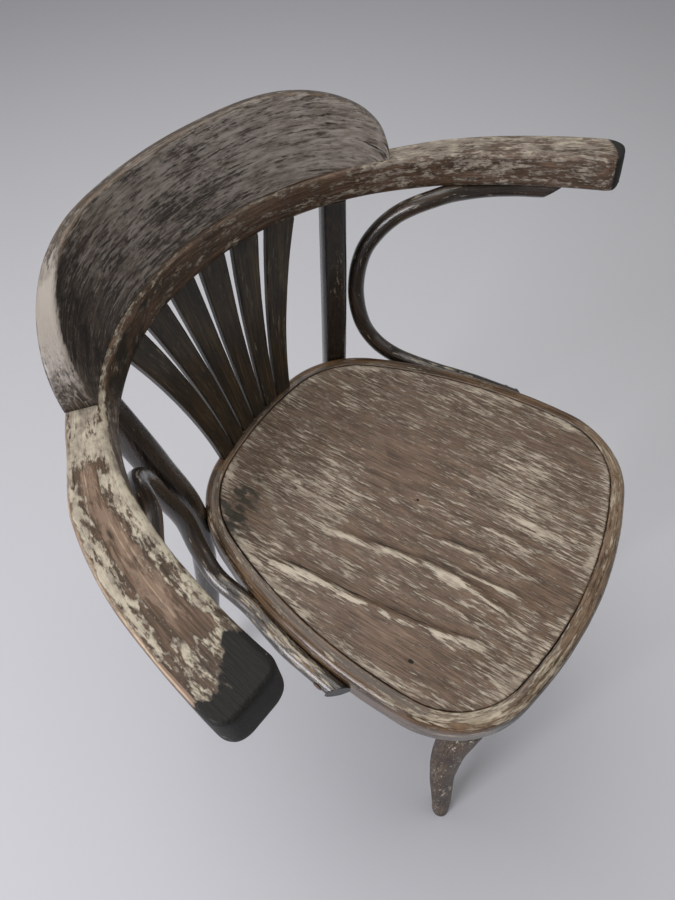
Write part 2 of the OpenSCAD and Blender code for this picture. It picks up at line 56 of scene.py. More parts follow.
# Millimetres; turns are in degrees, and BOW_TILT is in radians
SEAT_HEIGHT, SEAT_HALF, SEAT_FRONT, SEAT_BACK = 456.0, 177.0, 181.0, 192.0
FRONT_R, SIDE_R, BACK_R, FRONT_CORNER, BACK_CORNER = 415.0, 495.0, 363.0, 79.0, 95.0
PANEL, RIM_OUT, RIM_IN, RIM_DEPTH = 5.0, 16.0, 24.0, 38.0
BOW_TOP, BOW_TILT = SEAT_HEIGHT + 238.0, math.radians(7.6)
ARM_WIDTH, BOW_WIDTH, BOW_THICK = 43.0, 29.0, 32.0
BOW_BACK, BACK_RADIUS, BEND_RADIUS, ARM_RADIUS = 251.0, 249.0, 236.0, 545.0
BACK_TURN, BEND_TURN, ARM_REACH = 27.0, 65.0, 42.0
CREST_H, CREST_TOP, CREST_LEAN, CREST_RIGHT, CREST_LEFT = 79.0, 12.0, 21.0, 46.0, 53.0
CREST_INNER, CREST_FALL, CREST_LIP = 4.5, 130.0, 5.0
# Roundings of the arms' tips: both corners of the right and the inner of the left, the outer corner of
# the left, and the edges above and below
RIGHT_TIP, LEFT_TIP, TIP_EDGE = 11.0, 21.0, 4.0
SLATS, SLAT_TOP, SLAT_FOOT, SLAT_PITCH, FOOT_PITCH, SLAT_THICK = 6, 32.0, 20.0, 42.0, 21.0, 8.0
HEAD_SHIFT, FOOT_SHIFT = 4.0, -4.0
POST, SPLAY, LEG_TOP, FOOT, SWEEP = 27.0, 42.0, 37.0, 22.0, 30.0
# The legs' ends draw in by FOOT_SLOPE for each millimetre within FOOT_EDGE of them
FOOT_EDGE, FOOT_SLOPE = 2.0, 0.8
SUPPORT_ROD, SUPPORT_REACH, ARM_END, ROD_EDGE = 18.0, 42.0, 2.0, 2.5
# How far posts and supports are let into rim and bow, and the gap left round a seated part
LET_IN, SEAT_GAP = 1.5, 0.12

RIM_TOP = SEAT_HEIGHT + 0.6
RIM_BOTTOM = RIM_TOP - RIM_DEPTH
RIM_MIDDLE = (RIM_TOP + RIM_BOTTOM) / 2
# The seat's middle lies this far along y from the row's origin
SEAT_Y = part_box("seat_rim")[0].y / MM + SEAT_FRONT + RIM_OUT


# ---- plane geometry ----

def cosd(a):
    return np.cos(np.radians(a))


def sind(a):
    return np.sin(np.radians(a))


def mixed(a, b, t):
    """a at t = 0 and b at t = 1, in a straight line."""
    return a + (b - a) * t


def eased(t):
    """Smooth step from 0 at t = 0 to 1 at t = 1: 3t^2 - 2t^3."""
    t = np.clip(t, 0.0, 1.0)
    return t * t * (3 - 2 * t)


def hump(x, middle, width):
    """Bell of height 1: exp(-((x - middle) / width)^2)."""
    return np.exp(-((x - middle) / width) ** 2)


def unit(v):
    return v / np.linalg.norm(v, axis=-1, keepdims=True)


def crossing(p, rp, q, rq, side):
    """Where two circles meet, left (side 1) or right (-1) of the line from p to q."""
    d = np.linalg.norm(q - p)
    along = (rp * rp - rq * rq + d * d) / (2 * d)
    e = (q - p) / d
    return p + along * e + side * math.sqrt(rp * rp - along * along) * np.array([-e[1], e[0]])


def direction(p, q):
    """Angle in degrees of the line from p to q."""
    return math.degrees(math.atan2(q[1] - p[1], q[0] - p[0]))


def lattice(i, j, k, seed):
    """Scrambles whole numbers i, j, k into values from -1 to 1."""
    h = (i * 374761393 + j * 668265263 + k * 1440662683 + seed * 1274126177) & 0xFFFFFFFF
    h = ((h ^ (h >> 13)) * 1274126177) & 0xFFFFFFFF
    return ((h ^ (h >> 16)) & 0xFFFF) / 32767.5 - 1.0


def noise(p, size, seed):
    """Value noise: random values on a grid of the given cell size, one number per axis, blended between
    the eight corners of a cell. Three octaves are summed, each with half the size and strength."""
    total = np.zeros(p.shape[:-1])
    for octave in range(3):
        q = p / (np.asarray(size, float) / 2 ** octave)
        cell = np.floor(q).astype(np.int64)
        f = q - cell
        f = f * f * (3 - 2 * f)
        value = np.zeros(p.shape[:-1])
        for a in (0, 1):
            for b in (0, 1):
                for c in (0, 1):
                    weight = (np.where(a, f[..., 0], 1 - f[..., 0])
                              * np.where(b, f[..., 1], 1 - f[..., 1])
                              * np.where(c, f[..., 2], 1 - f[..., 2]))
                    value += weight * lattice(cell[..., 0] + a, cell[..., 1] + b,
                                              cell[..., 2] + c, seed + 31 * octave)
        total += value / 2 ** octave
    return total


# ---- surfaces ----

def rounded_section(corners, reach, bend, flat):
    """Closed sections with rounded corners, one per station.

    corners has shape (stations, corners, 2), and reach is how far a rounding runs along each side.
    Every corner is a quadratic curve (1-t)^2 a + 2t(1-t) c + t^2 b between the points a and b at that
    reach, and the stretch from b to the next corner's a is divided evenly.
    """
    reach = np.broadcast_to(reach, corners.shape[:2])[..., None]
    a = corners + reach * unit(np.roll(corners, 1, axis=1) - corners)
    b = corners + reach * unit(np.roll(corners, -1, axis=1) - corners)
    t = np.linspace(0, 1, bend)[None, None, :, None]
    arc = (1 - t) ** 2 * a[:, :, None] + 2 * t * (1 - t) * corners[:, :, None] + t * t * b[:, :, None]
    s = (np.arange(1, flat) / flat)[None, None, :, None]
    run = b[:, :, None] * (1 - s) + np.roll(a, -1, axis=1)[:, :, None] * s
    return np.concatenate([arc, run], axis=2).reshape(len(corners), -1, 2)


def section_corners(*pairs):
    """Corners of the sections, one row per station, from (out, up) pairs that each give one corner."""
    return np.stack([np.stack(pair, -1) for pair in pairs], axis=1)


def normals_of(points, loop):
    """Unit normals of a grid of points: the cross product of its two central differences."""
    if loop:
        along = np.roll(points, -1, axis=0) - np.roll(points, 1, axis=0)
    else:
        along = np.gradient(points, axis=0)
    around = np.roll(points, -1, axis=1) - np.roll(points, 1, axis=1)
    n = np.cross(along, around)
    return n / np.maximum(np.linalg.norm(n, axis=-1, keepdims=True), 1e-9)


def outward(points, loop):
    """Normals turned away from the middle of each section."""
    n = normals_of(points, loop)
    middle = points.mean(axis=1, keepdims=True)
    return n * np.sign(np.sum(n * (points - middle)) + 1e-12)


def placed(name, data):
    """A new object in the scene."""
    made = bpy.data.objects.new(name, data)
    bpy.context.scene.collection.objects.link(made)
    return made


def piece(name, node, material, points, fields, loop=False):
    """Makes one closed skin from a grid of points (stations, around, 3) in millimetres.

    Sections are joined by quads, the last to the first if the piece is a loop, and otherwise each end
    is closed by one face. fields are the values that the material reads at each point: numbers of
    shape (stations, around) or vectors of shape (stations, around, 3).
    """
    rows, n = points.shape[:2]
    j, i = np.meshgrid(np.arange(rows if loop else rows - 1), np.arange(n), indexing="ij")
    k, up = (i + 1) % n, (j + 1) % rows
    quads = np.stack([j * n + i, j * n + k, up * n + k, up * n + i], axis=-1).reshape(-1, 4)
    flat = points.reshape(-1, 3)
    volume = np.sum(flat[quads[:, 0]] * np.cross(flat[quads[:, 1]], flat[quads[:, 2]]))
    volume += np.sum(flat[quads[:, 0]] * np.cross(flat[quads[:, 2]], flat[quads[:, 3]]))
    faces = quads.tolist()
    if not loop:
        faces += [list(range(n))[::-1], list(range((rows - 1) * n, rows * n))]
    if volume < 0:
        faces = [face[::-1] for face in faces]
    mesh = bpy.data.meshes.new(name)
    mesh.from_pydata(((flat + [0, SEAT_Y, 0]) * MM).tolist(), [], faces)
    mesh.polygons.foreach_set("use_smooth", np.ones(len(faces), bool))
    fields = {key: 0 * points[..., 0] for key in FIELDS} | fields
    for key, values in fields.items():
        vector = values.ndim == 3
        attribute = mesh.attributes.new(key, "FLOAT_VECTOR" if vector else "FLOAT", "POINT")
        attribute.data.foreach_set("vector" if vector else "value",
                                   np.ascontiguousarray(values, np.float32).ravel())
    mesh.update()
    mesh.materials.append(material)
    made = placed(name, mesh)
    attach(made, BODY)
    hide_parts(node)
    return made


def straightened(points):
    """Wood coordinates in metres: the run along the piece, then the place across it.

    The run is the summed length of the line through the sections' middles, and the place across is
    the point's distance from that middle along two axes that the first section gives.
    """
    middle = points.mean(axis=1)
    step = np.linalg.norm(np.diff(middle, axis=0), axis=1)
    run = np.concatenate([[0], np.cumsum(step)])
    tangent = unit(np.gradient(middle, axis=0))
    side = unit(np.cross(tangent, [0.0, 0.0, 1.0]) + np.cross(tangent, [1e-3, 0, 0]))
    lift = np.cross(side, tangent)
    away = points - middle[:, None]
    return np.stack([np.broadcast_to(run[:, None], points.shape[:2]),
                     np.sum(away * side[:, None], axis=-1),
                     np.sum(away * lift[:, None], axis=-1)], axis=-1) * MM


# ---- the seat's outline and the bow's line ----

FRONT_CENTRE = np.array([0.0, FRONT_R - SEAT_FRONT])
BACK_CENTRE = np.array([0.0, SEAT_BACK - BACK_R])
SIDE_CENTRE = np.array([SEAT_HALF - SIDE_R, -0.39 * SEAT_FRONT])
FRONT_CORNER_CENTRE = crossing(FRONT_CENTRE, FRONT_R - FRONT_CORNER, SIDE_CENTRE, SIDE_R - FRONT_CORNER, 1)
BACK_CORNER_CENTRE = crossing(BACK_CENTRE, BACK_R - BACK_CORNER, SIDE_CENTRE, SIDE_R - BACK_CORNER, -1)
TURN_FRONT = direction(FRONT_CENTRE, FRONT_CORNER_CENTRE)
TURN_FRONT_SIDE = direction(SIDE_CENTRE, FRONT_CORNER_CENTRE)
TURN_BACK_SIDE = direction(SIDE_CENTRE, BACK_CORNER_CENTRE)
TURN_BACK = direction(BACK_CENTRE, BACK_CORNER_CENTRE)
# Centre, radius and first and last angle of each arc, from the middle of the front to that of the back
SEAT_ARCS = [(FRONT_CENTRE, FRONT_R, -90.0, TURN_FRONT),
             (FRONT_CORNER_CENTRE, FRONT_CORNER, TURN_FRONT, TURN_FRONT_SIDE),
             (SIDE_CENTRE, SIDE_R, TURN_FRONT_SIDE, TURN_BACK_SIDE),
             (BACK_CORNER_CENTRE, BACK_CORNER, TURN_BACK_SIDE, TURN_BACK),
             (BACK_CENTRE, BACK_R, TURN_BACK, 90.0)]


def seat_line(count):
    """The panel's outline at evenly spaced lengths from the middle of the front, +x side first.

    Each arc gives centre + radius (cos a, sin a); the other half is the mirror image. Returns the
    points, the outward directions and the length run.
    """
    lengths = np.array([r * math.radians(abs(b - a)) for _, r, a, b in SEAT_ARCS])
    ends = np.concatenate([[0], np.cumsum(lengths)])
    run = np.arange(count) / count * 2 * ends[-1]
    half = np.minimum(run, 2 * ends[-1] - run)
    which = np.clip(np.searchsorted(ends, half, side="right") - 1, 0, len(SEAT_ARCS) - 1)
    centre, radius, first, last = (np.array(values)[which] for values in zip(*SEAT_ARCS))
    turn = first + (last - first) * (half - ends[which]) / lengths[which]
    out = np.stack([cosd(turn), sind(turn)], axis=-1)
    point = centre + radius[:, None] * out
    flip = np.where(run > ends[-1], -1.0, 1.0)[:, None] * [1, 0] + [0, 1]
    return point * flip, out * flip, run


def turned(r, a):
    """Offset of length r at an angle a from the y axis towards x."""
    return np.stack([r * sind(a), r * cosd(a)], axis=-1)


BOW_BACK_CENTRE = np.array([0.0, BOW_BACK - BACK_RADIUS])
BOW_BEND_CENTRE = BOW_BACK_CENTRE + turned(BACK_RADIUS - BEND_RADIUS, BACK_TURN)
BOW_ARM_CENTRE = BOW_BEND_CENTRE + turned(BEND_RADIUS - ARM_RADIUS, BEND_TURN)
ARM_TURN = math.degrees(math.acos((-ARM_REACH - BOW_ARM_CENTRE[1]) / ARM_RADIUS))


def bow_point(turn, out, h):
    """Point of the bow at a turn from the middle of the back, out from its inside edge, h above its top.

    The turn picks one of three tangent arcs, the mirror image serves for negative turns, and the flat
    line is then tilted about the x axis, so that the arms rise towards the front.
    """
    a = np.abs(turn)
    back, bend = a <= BACK_TURN, a <= BEND_TURN
    centre = np.where(bend[..., None], BOW_BEND_CENTRE, BOW_ARM_CENTRE)
    centre = np.where(back[..., None], BOW_BACK_CENTRE, centre)
    radius = np.where(back, BACK_RADIUS, np.where(bend, BEND_RADIUS, ARM_RADIUS)) + out
    flat = centre + turned(radius, a)
    c, s = math.cos(BOW_TILT), math.sin(BOW_TILT)
    return np.stack([np.sign(turn) * flat[..., 0], flat[..., 1] * c + h * s,
                     BOW_TOP - flat[..., 1] * s + h * c], axis=-1)


def arm_turn_at(y):
    """Turn at which the inside edge of the arm's arc passes y."""
    return math.degrees(math.acos((y / math.cos(BOW_TILT) - BOW_ARM_CENTRE[1]) / ARM_RADIUS))


def smooth_path(knots, count):
    """Catmull-Rom curve through the knots, count points evenly spaced in its parameter:
    half of 2p1 + (p2-p0)t + (2p0-5p1+4p2-p3)t^2 + (3p1-p0-3p2+p3)t^3."""
    knots = np.asarray(knots, float)
    u = np.linspace(0, len(knots) - 1, count)
    i = np.minimum(u.astype(int), len(knots) - 2)
    t = (u - i)[:, None]
    p0, p1 = knots[np.maximum(i - 1, 0)], knots[i]
    p2, p3 = knots[i + 1], knots[np.minimum(i + 2, len(knots) - 1)]
    return 0.5 * (2 * p1 + (p2 - p0) * t + (2 * p0 - 5 * p1 + 4 * p2 - p3) * t ** 2
                  + (3 * p1 - p0 - 3 * p2 + p3) * t ** 3)


def at_height(path, z):
    """Point of a path, which runs from top to bottom, at a height."""
    return np.array([np.interp(-z, -path[:, 2], path[:, axis]) for axis in range(3)])


# ---- places of the joints ----

POST_HALF = POST / 2
POST_TURN = mixed(TURN_BACK_SIDE, TURN_BACK, 0.39)
POST_SEAT = BACK_CORNER_CENTRE + (BACK_CORNER + RIM_OUT + POST_HALF - LET_IN) * np.array(
    [cosd(POST_TURN), sind(POST_TURN)])
POST_HEAD = bow_point(np.array(BACK_TURN + 12.0), POST_HALF + 1, 2.0 - BOW_THICK)
POST_PATH = smooth_path([
    POST_HEAD, mixed(POST_HEAD, np.array([*POST_SEAT, SEAT_HEIGHT]), 0.5) + [-1, -1, 0],
    *([POST_SEAT[0] + out * SPLAY, POST_SEAT[1] + back * SPLAY, z] for out, back, z in (
        (0, 0, RIM_MIDDLE), (0.22, 0.18, 0.62 * SEAT_HEIGHT), (0.6, 0.55, 0.28 * SEAT_HEIGHT), (1, 1, 0)))
], 300)

LEG_TURN = mixed(TURN_FRONT, TURN_FRONT_SIDE, 0.42)
LEG_SEAT = FRONT_CORNER_CENTRE + (FRONT_CORNER + (RIM_OUT - RIM_IN) / 2 + 1) * np.array(
    [cosd(LEG_TURN), sind(LEG_TURN)])
LEG_UP = RIM_BOTTOM - SEAT_GAP
LEG_PATH = smooth_path([[LEG_SEAT[0] + out, LEG_SEAT[1] - ahead, share * LEG_UP] for out, ahead, share in (
    (0, 0, 1), (-1, -1, 0.74), (-2, 0.18 * SWEEP, 0.46), (-2, 0.7 * SWEEP, 0.17), (-1, SWEEP, 0))], 220)

SUPPORT_HALF = SUPPORT_ROD / 2


def under_arm(y, across):
    """Axis of a rod that lies against the underside of the arm, a share of the width across it."""
    return bow_point(np.array(arm_turn_at(y)), across * ARM_WIDTH, LET_IN - BOW_THICK - SUPPORT_HALF)


def beside_rim(y, lift):
    """Axis of a rod that lies against the rim's side at y, a lift above the rim's middle height."""
    a = math.asin((y - SIDE_CENTRE[1]) / (SIDE_R + RIM_OUT))
    reach = SIDE_R + RIM_OUT + SUPPORT_HALF - LET_IN
    return np.array([SIDE_CENTRE[0] + reach * math.cos(a), y, RIM_MIDDLE + lift])


def beside_post(z, out, ahead):
    """A place outward of the rear post's axis, and in front of it, at a height."""
    return at_height(POST_PATH, z) + [out, -ahead, 0]


# From the arm's underside past the post to the rim's side
SUPPORT_PATH = smooth_path([
    under_arm(ARM_END, 0.38), under_arm(50, 0.34), under_arm(86, 0.2), POST_HEAD + [53, -93, 2],
    beside_post(BOW_TOP - 78, 36, 54), beside_post(BOW_TOP - 113, 23, 27), beside_post(BOW_TOP - 157, 19, 18),
    beside_post(SEAT_HEIGHT + 42, 20, 24), beside_post(SEAT_HEIGHT + 11, 30, 37),
    beside_post(SEAT_HEIGHT - 9, 40, 62),
    beside_rim(76, 5), beside_rim(24, 0), beside_rim(-SUPPORT_REACH, -3)], 420)


# ---- materials ----

def linear(code):
    """Linear colour, fully opaque, of an sRGB hex code."""
    parts = [int(code[i:i + 2], 16) / 255 for i in (1, 3, 5)]
    return tuple(c / 12.92 if c <= 0.04045 else ((c + 0.055) / 1.055) ** 2.4 for c in parts) + (1.0,)


def blank_material(name):
    """A new material and its node tree, with every node taken out."""
    material = bpy.data.materials.new(name)
    material.use_nodes = True
    material.node_tree.nodes.clear()
    return material, material.node_tree


def add(tree, kind, links=None, stops=(), **settings):
    """Adds a node, sets its settings, fills or links its inputs, and gives back its first output in use.

    A text value is an sRGB hex code, and stops are the (place, hex code) pairs of a colour ramp.
    """
    node = tree.nodes.new(kind)
    for key, value in settings.items():
        setattr(node, key, value)
    for key, value in (links or {}).items():
        if isinstance(value, bpy.types.NodeSocket):
            tree.links.new(value, node.inputs[key])
        else:
            node.inputs[key].default_value = linear(value) if isinstance(value, str) else value
    for i, (place, code) in enumerate(stops):
        elements = node.color_ramp.elements
        if i == len(elements):
            elements.new(place)
        elements[i].position, elements[i].color = place, linear(code)
    return next((socket for socket in node.outputs if socket.enabled), None)


ATTRIBUTE, MATH, MIX = "ShaderNodeAttribute", "ShaderNodeMath", "ShaderNodeMix"
RANGE, RAMP, NOISE = "ShaderNodeMapRange", "ShaderNodeValToRGB", "ShaderNodeTexNoise"
# Inputs go by number where names repeat. Mix: the share at 0, two values at 2 and 3 or two colours at 6
# and 7. Map Range: the value at 0, its range at 1 and 2, the new range at 3 and 4. Math: 0, 1 and 2.

# What a piece says about each of its points: how much paint is left (0 none, about 0.7 closed), how much
# paler or darker it is (0 as it comes), how far it is rubbed through, how greasy it is, and where it is
# black (0 nowhere, 1 fully). Some pieces also paint light and shade through them: paler paint as painted
# highlight, and greasy darkening and black as painted shade
FIELDS = ("paint", "tone", "wear", "grime_and_shade", "dark")
# How far the paint field can move the level that decides between paint and wood
FIELD_REACH = 0.36


def painted_wood(name, wood, pale, paint, grime_and_shade, streak, patch, flake, soft, rough, relief, seed,
                 coverage=0.0, coat=0.0, mirror=0.5, fleck=0.0):
    """Old wood with what is left of its paint.

    wood: four sRGB colours from the pores to the light grain; pale: bare worn wood, from dull to bright;
    paint: its darker and its paler tint; grime: colour of the greasy patina, also used for painted shade.
    streak, patch and flake are (length, width) in millimetres of the grain lines, of the paint's patches
    and of the small scales that they break into. The paint shows where patch and flake noise together,
    with the piece's own paint field, pass a bar, which coverage lowers, and soft is how wide its edges
    blend; a thin painted shadow darkens the wood along these edges. rough is the roughness of wood, paint
    and grime. relief is the height in millimetres of a tenth of the grain's noise and of the paint's film.
    coat weighs the varnish, mirror the plain reflection, fleck says how many pale flecks lie on top, and
    seed shifts the patterns.
    """
    material, tree = blank_material(name)
    place = add(tree, ATTRIBUTE, attribute_name="grain").node.outputs["Vector"]
    field = {key: add(tree, ATTRIBUTE, attribute_name=key).node.outputs["Fac"] for key in FIELDS}

    def pattern(length, width, detail, shift):
        """Noise drawn out along the grain, with cells of length by width millimetres."""
        drawn = add(tree, "ShaderNodeMapping",
                    {0: place, 1: (seed + shift, shift * 1.7, seed),
                     3: (1 / (length * MM), 1 / (width * MM), 1 / (width * MM))})
        return add(tree, NOISE, {"Vector": drawn, "Scale": 1.0, "Detail": detail, "Roughness": 0.65,
                                 "Distortion": 0.2})

    # pores and grain lines, with broader bands under them
    grain = pattern(*streak, 5.0, 3.1)
    broad = pattern(streak[0] * 1.3, streak[1] * 9, 3.0, 11.7)
    body = add(tree, MIX, {0: 0.38, 2: grain, 3: broad})
    colour = add(tree, RAMP, {0: body}, zip((0.36, 0.47, 0.54, 0.66), wood))

    # bare pale wood where the finish is rubbed through
    rub = pattern(patch[0], patch[1] * 0.8, 6.0, 23.0)
    rub = add(tree, MATH, {0: rub, 1: field["wear"]}, operation="ADD")
    worn = add(tree, RANGE, {0: rub, 1: 1.0, 2: 1.14})
    rubbed = add(tree, MATH, {0: field["wear"], 1: 0.42, 2: grain}, operation="MULTIPLY_ADD")
    bare = add(tree, RAMP, {0: rubbed}, [(0.80, pale[0]), (1.0, pale[1])])
    colour = add(tree, MIX, {0: worn, 6: colour, 7: bare}, data_type="RGBA")

    # paint: large patches broken up by small scales, over a thin painted shadow along their edges
    large = pattern(*patch, 6.0, 41.0)
    small = pattern(*flake, 4.0, 57.0)
    level = add(tree, MIX, {0: 0.45, 2: large, 3: small})
    level = add(tree, MATH, {0: field["paint"], 1: FIELD_REACH, 2: level}, operation="MULTIPLY_ADD")
    bar = 0.5 + FIELD_REACH * (0.5 - coverage)
    flake_edge_shadow = add(tree, RANGE, {0: level, 1: bar - 2.4 * soft, 2: bar - soft, 4: 0.45})
    colour = add(tree, MIX, {0: flake_edge_shadow, 6: colour, 7: wood[0]}, data_type="RGBA")
    cover = add(tree, RANGE, {0: level, 1: bar - soft, 2: bar + soft})
    tint = pattern(patch[0] * 0.7, patch[1] * 1.5, 5.0, 71.0)
    tint = add(tree, MATH, {0: tint, 1: field["tone"]}, operation="ADD")
    film = add(tree, RAMP, {0: tint}, [(0.36, paint[0]), (0.64, paint[1])])
    colour = add(tree, MIX, {0: cover, 6: colour, 7: film}, data_type="RGBA")

    # greasy, sooty patina and painted shade, then the black of cracks, holes and handled ends and of painted
    # shade, then pale flecks
    soot_and_shade = pattern(22, 12, 6.0, 91.0)
    soot_and_shade = add(tree, MATH, {0: soot_and_shade, 1: field["grime_and_shade"]}, operation="ADD")
    soot_and_shade = add(tree, RANGE, {0: soot_and_shade, 1: 1.0, 2: 1.2, 4: 0.92})
    colour = add(tree, MIX, {0: soot_and_shade, 6: colour, 7: grime_and_shade}, data_type="RGBA")
    scar_and_shade = add(tree, MATH, {0: small, 1: 0.9, 2: field["dark"]}, operation="MULTIPLY_ADD")
    scar_and_shade = add(tree, RANGE, {0: scar_and_shade, 1: 0.85, 2: 1.02})
    colour = add(tree, MIX, {0: scar_and_shade, 6: colour, 7: "#0d0c08"}, data_type="RGBA")
    dots = pattern(3.4, 1.3, 1.0, 111.0)
    dots = add(tree, RANGE, {0: dots, 1: 0.80 - fleck, 2: 0.87 - fleck, 4: 0.85})
    colour = add(tree, MIX, {0: dots, 6: colour, 7: paint[1]}, data_type="RGBA")

    # roughness of what lies uppermost, and relief of grain lines and of the paint's film
    gloss = add(tree, MIX, {0: cover, 2: rough[0], 3: rough[1]})
    gloss = add(tree, MIX, {0: soot_and_shade, 2: gloss, 3: rough[2]})
    gloss = add(tree, MATH, {0: small, 1: 0.2, 2: gloss}, operation="MULTIPLY_ADD")
    gloss = add(tree, MATH, {0: gloss, 1: 0.1}, operation="SUBTRACT")
    gloss = add(tree, MIX, {0: scar_and_shade, 2: gloss, 3: 0.72})
    height = add(tree, MATH, {0: cover, 1: relief[1]}, operation="MULTIPLY")
    height = add(tree, MATH, {0: grain, 1: relief[0] * 10, 2: height}, operation="MULTIPLY_ADD")
    bumped = add(tree, "ShaderNodeBump", {"Strength": 1.0, "Distance": MM, "Height": height})
    shader = add(tree, "ShaderNodeBsdfPrincipled",
                 {"Base Color": colour, "Roughness": gloss, "Normal": bumped, "IOR": 1.5,
                  "Specular IOR Level": mirror,
                  "Coat Weight": coat, "Coat Roughness": 0.16})
    add(tree, "ShaderNodeOutputMaterial", {"Surface": shader})
    return material


# Oak or ash veneer of the plywood panel: dusty, matt brown with a pink cast and dry streaks of oil paint
seat_material = painted_wood(
    "veneer_with_flaked_paint", wood=("#3d2d1f", "#5e4a3a", "#745e4d", "#8b7462"),
    pale=("#7d6355", "#967d6e"), paint=("#857768", "#c4b8a6"), grime_and_shade="#2b2618",
    streak=(32, 1.5), patch=(26, 2.8), flake=(12, 1.4), soft=0.030,
    rough=(0.50, 0.62, 0.55), relief=(0.11, 0.34), seed=2.0)
# Bent beech under worn brown varnish, rubbed pale along its edges
rim_material = painted_wood(
    "bent_beech_worn_varnish", wood=("#20160c", "#44311f", "#634b34", "#80664c"),
    pale=("#7d6650", "#b09a80"), paint=("#857761", "#b9ac98"), grime_and_shade="#110d08",
    streak=(60, 2.0), patch=(30, 4.0), flake=(11, 1.8), soft=0.04,
    rough=(0.26, 0.46, 0.32), relief=(0.05, 0.12), coat=0.4, mirror=0.35, seed=5.0)
# The bow: beech with thin grey-beige paint, black and greasy where hands rested
bow_material = painted_wood(
    "bent_beech_grey_paint", wood=("#281b10", "#483523", "#604938", "#7d6654"),
    pale=("#836c5b", "#cbb59b"), paint=("#80756a", "#bdb3a0"), grime_and_shade="#1e1c14",
    streak=(50, 1.8), patch=(20, 5), flake=(6, 2.0), soft=0.042,
    rough=(0.42, 0.56, 0.40), relief=(0.09, 0.22), coat=0.05, mirror=0.4, fleck=0.03, seed=9.0)
# The crest board: a thin grey coat with a pink cast, drawn out over dark stain
crest_material = painted_wood(
    "crest_board_grey_paint", wood=("#17100b", "#32271d", "#4c4037", "#685b50"),
    pale=("#6e5a46", "#92795f"), paint=("#64594f", "#9b928a"), grime_and_shade="#17120c",
    streak=(46, 1.8), patch=(34, 2.6), flake=(8, 1.5), soft=0.055,
    rough=(0.36, 0.42, 0.34), relief=(0.07, 0.14), coat=0.2, fleck=0.05, seed=14.0)
# Slats: dark walnut stain under dull old varnish, their edges rubbed to olive brown
slat_material = painted_wood(
    "dark_stained_slat", wood=("#0c0905", "#241b10", "#3a2d1b", "#584729"),
    pale=("#4c3a26", "#6b563c"), paint=("#5a503b", "#82775f"), grime_and_shade="#0c0906",
    streak=(50, 2.2), patch=(26, 3.4), flake=(9, 1.6), coverage=-0.34, soft=0.06,
    rough=(0.36, 0.55, 0.45), relief=(0.10, 0.08), coat=0.25, seed=21.0)
# Rear posts: nearly black varnish with a few pale knocks, still glossy
post_material = painted_wood(
    "black_brown_varnish", wood=("#0b0806", "#1a130e", "#281e16", "#3c2d20"),
    pale=("#4f3a28", "#7c6248"), paint=("#6c614e", "#aa9d85"), grime_and_shade="#070605",
    streak=(55, 2.2), patch=(22, 3.0), flake=(11, 1.6), coverage=-0.42, soft=0.04,
    rough=(0.28, 0.52, 0.42), relief=(0.06, 0.08), coat=0.45, fleck=0.02, seed=27.0)
# Supports: bent rod in glossy brown varnish, worn through to pale wood where it was touched most
support_material = painted_wood(
    "bent_rod_brown_varnish", wood=("#0e0a07", "#1f1610", "#2f241a", "#4a3826"),
    pale=("#836647", "#b4987a"), paint=("#897c67", "#c6b9a4"), grime_and_shade="#0a0806",
    streak=(60, 2.2), patch=(32, 3.6), flake=(12, 1.8), coverage=-0.30, soft=0.04,
    rough=(0.25, 0.48, 0.38), relief=(0.06, 0.12), coat=0.55, fleck=0.01, seed=33.0)
# Front legs: brown varnish gone matt, with drops and flecks of the pale paint
leg_material = painted_wood(
    "turned_leg_worn_varnish", wood=("#191009", "#332316", "#493521", "#634c34"),
    pale=("#785d40", "#a0845f"), paint=("#877a62", "#e2d8c6"), grime_and_shade="#0f0b07",
    streak=(50, 2.2), patch=(22, 3.6), flake=(6, 1.8), coverage=-0.30, soft=0.04,
    rough=(0.42, 0.52, 0.45), relief=(0.08, 0.14), mirror=0.15, fleck=0.13, seed=39.0)


def rusty_steel():
    """Plain steel screws gone brown: dull metal with a skin of fine rust."""
    material, tree = blank_material("rusted_screw_steel")
    place = add(tree, "ShaderNodeTexCoord").node.outputs["Object"]
    rust = add(tree, NOISE, {"Vector": place, "Scale": 700.0, "Detail": 5.0, "Roughness": 0.65})
    colour = add(tree, RAMP, {0: rust}, [(0.35, "#4f4a45"), (0.5, "#5b4536"), (0.68, "#6e4128")])
    metal = add(tree, RANGE, {0: rust, 1: 0.4, 2: 0.6, 3: 0.6, 4: 0.01})
    dull = add(tree, RANGE, {0: rust, 1: 0.4, 2: 0.65, 3: 0.35, 4: 0.8})
    bumped = add(tree, "ShaderNodeBump", {"Strength": 0.6, "Distance": 0.0002, "Height": rust})
    shader = add(tree, "ShaderNodeBsdfPrincipled",
                 {"Base Color": colour, "Metallic": metal, "Roughness": dull, "Normal": bumped})
    add(tree, "ShaderNodeOutputMaterial", {"Surface": shader})
    return material


# ---- the pieces ----

def uneven(points, loop, seed, amount, size):
    """Hand-worked surfaces are never true: moves each point along its normal by smooth noise."""
    return points + outward(points, loop) * (amount * noise(points, size, seed))[..., None]


def near_corners(section, corners, reach):
    """1 at the corners of a section, easing to 0 at reach from the nearest of them."""
    d = np.min(np.linalg.norm(section[:, :, None] - corners[:, None], axis=-1), axis=-1)
    return 1 - eased(d / reach)


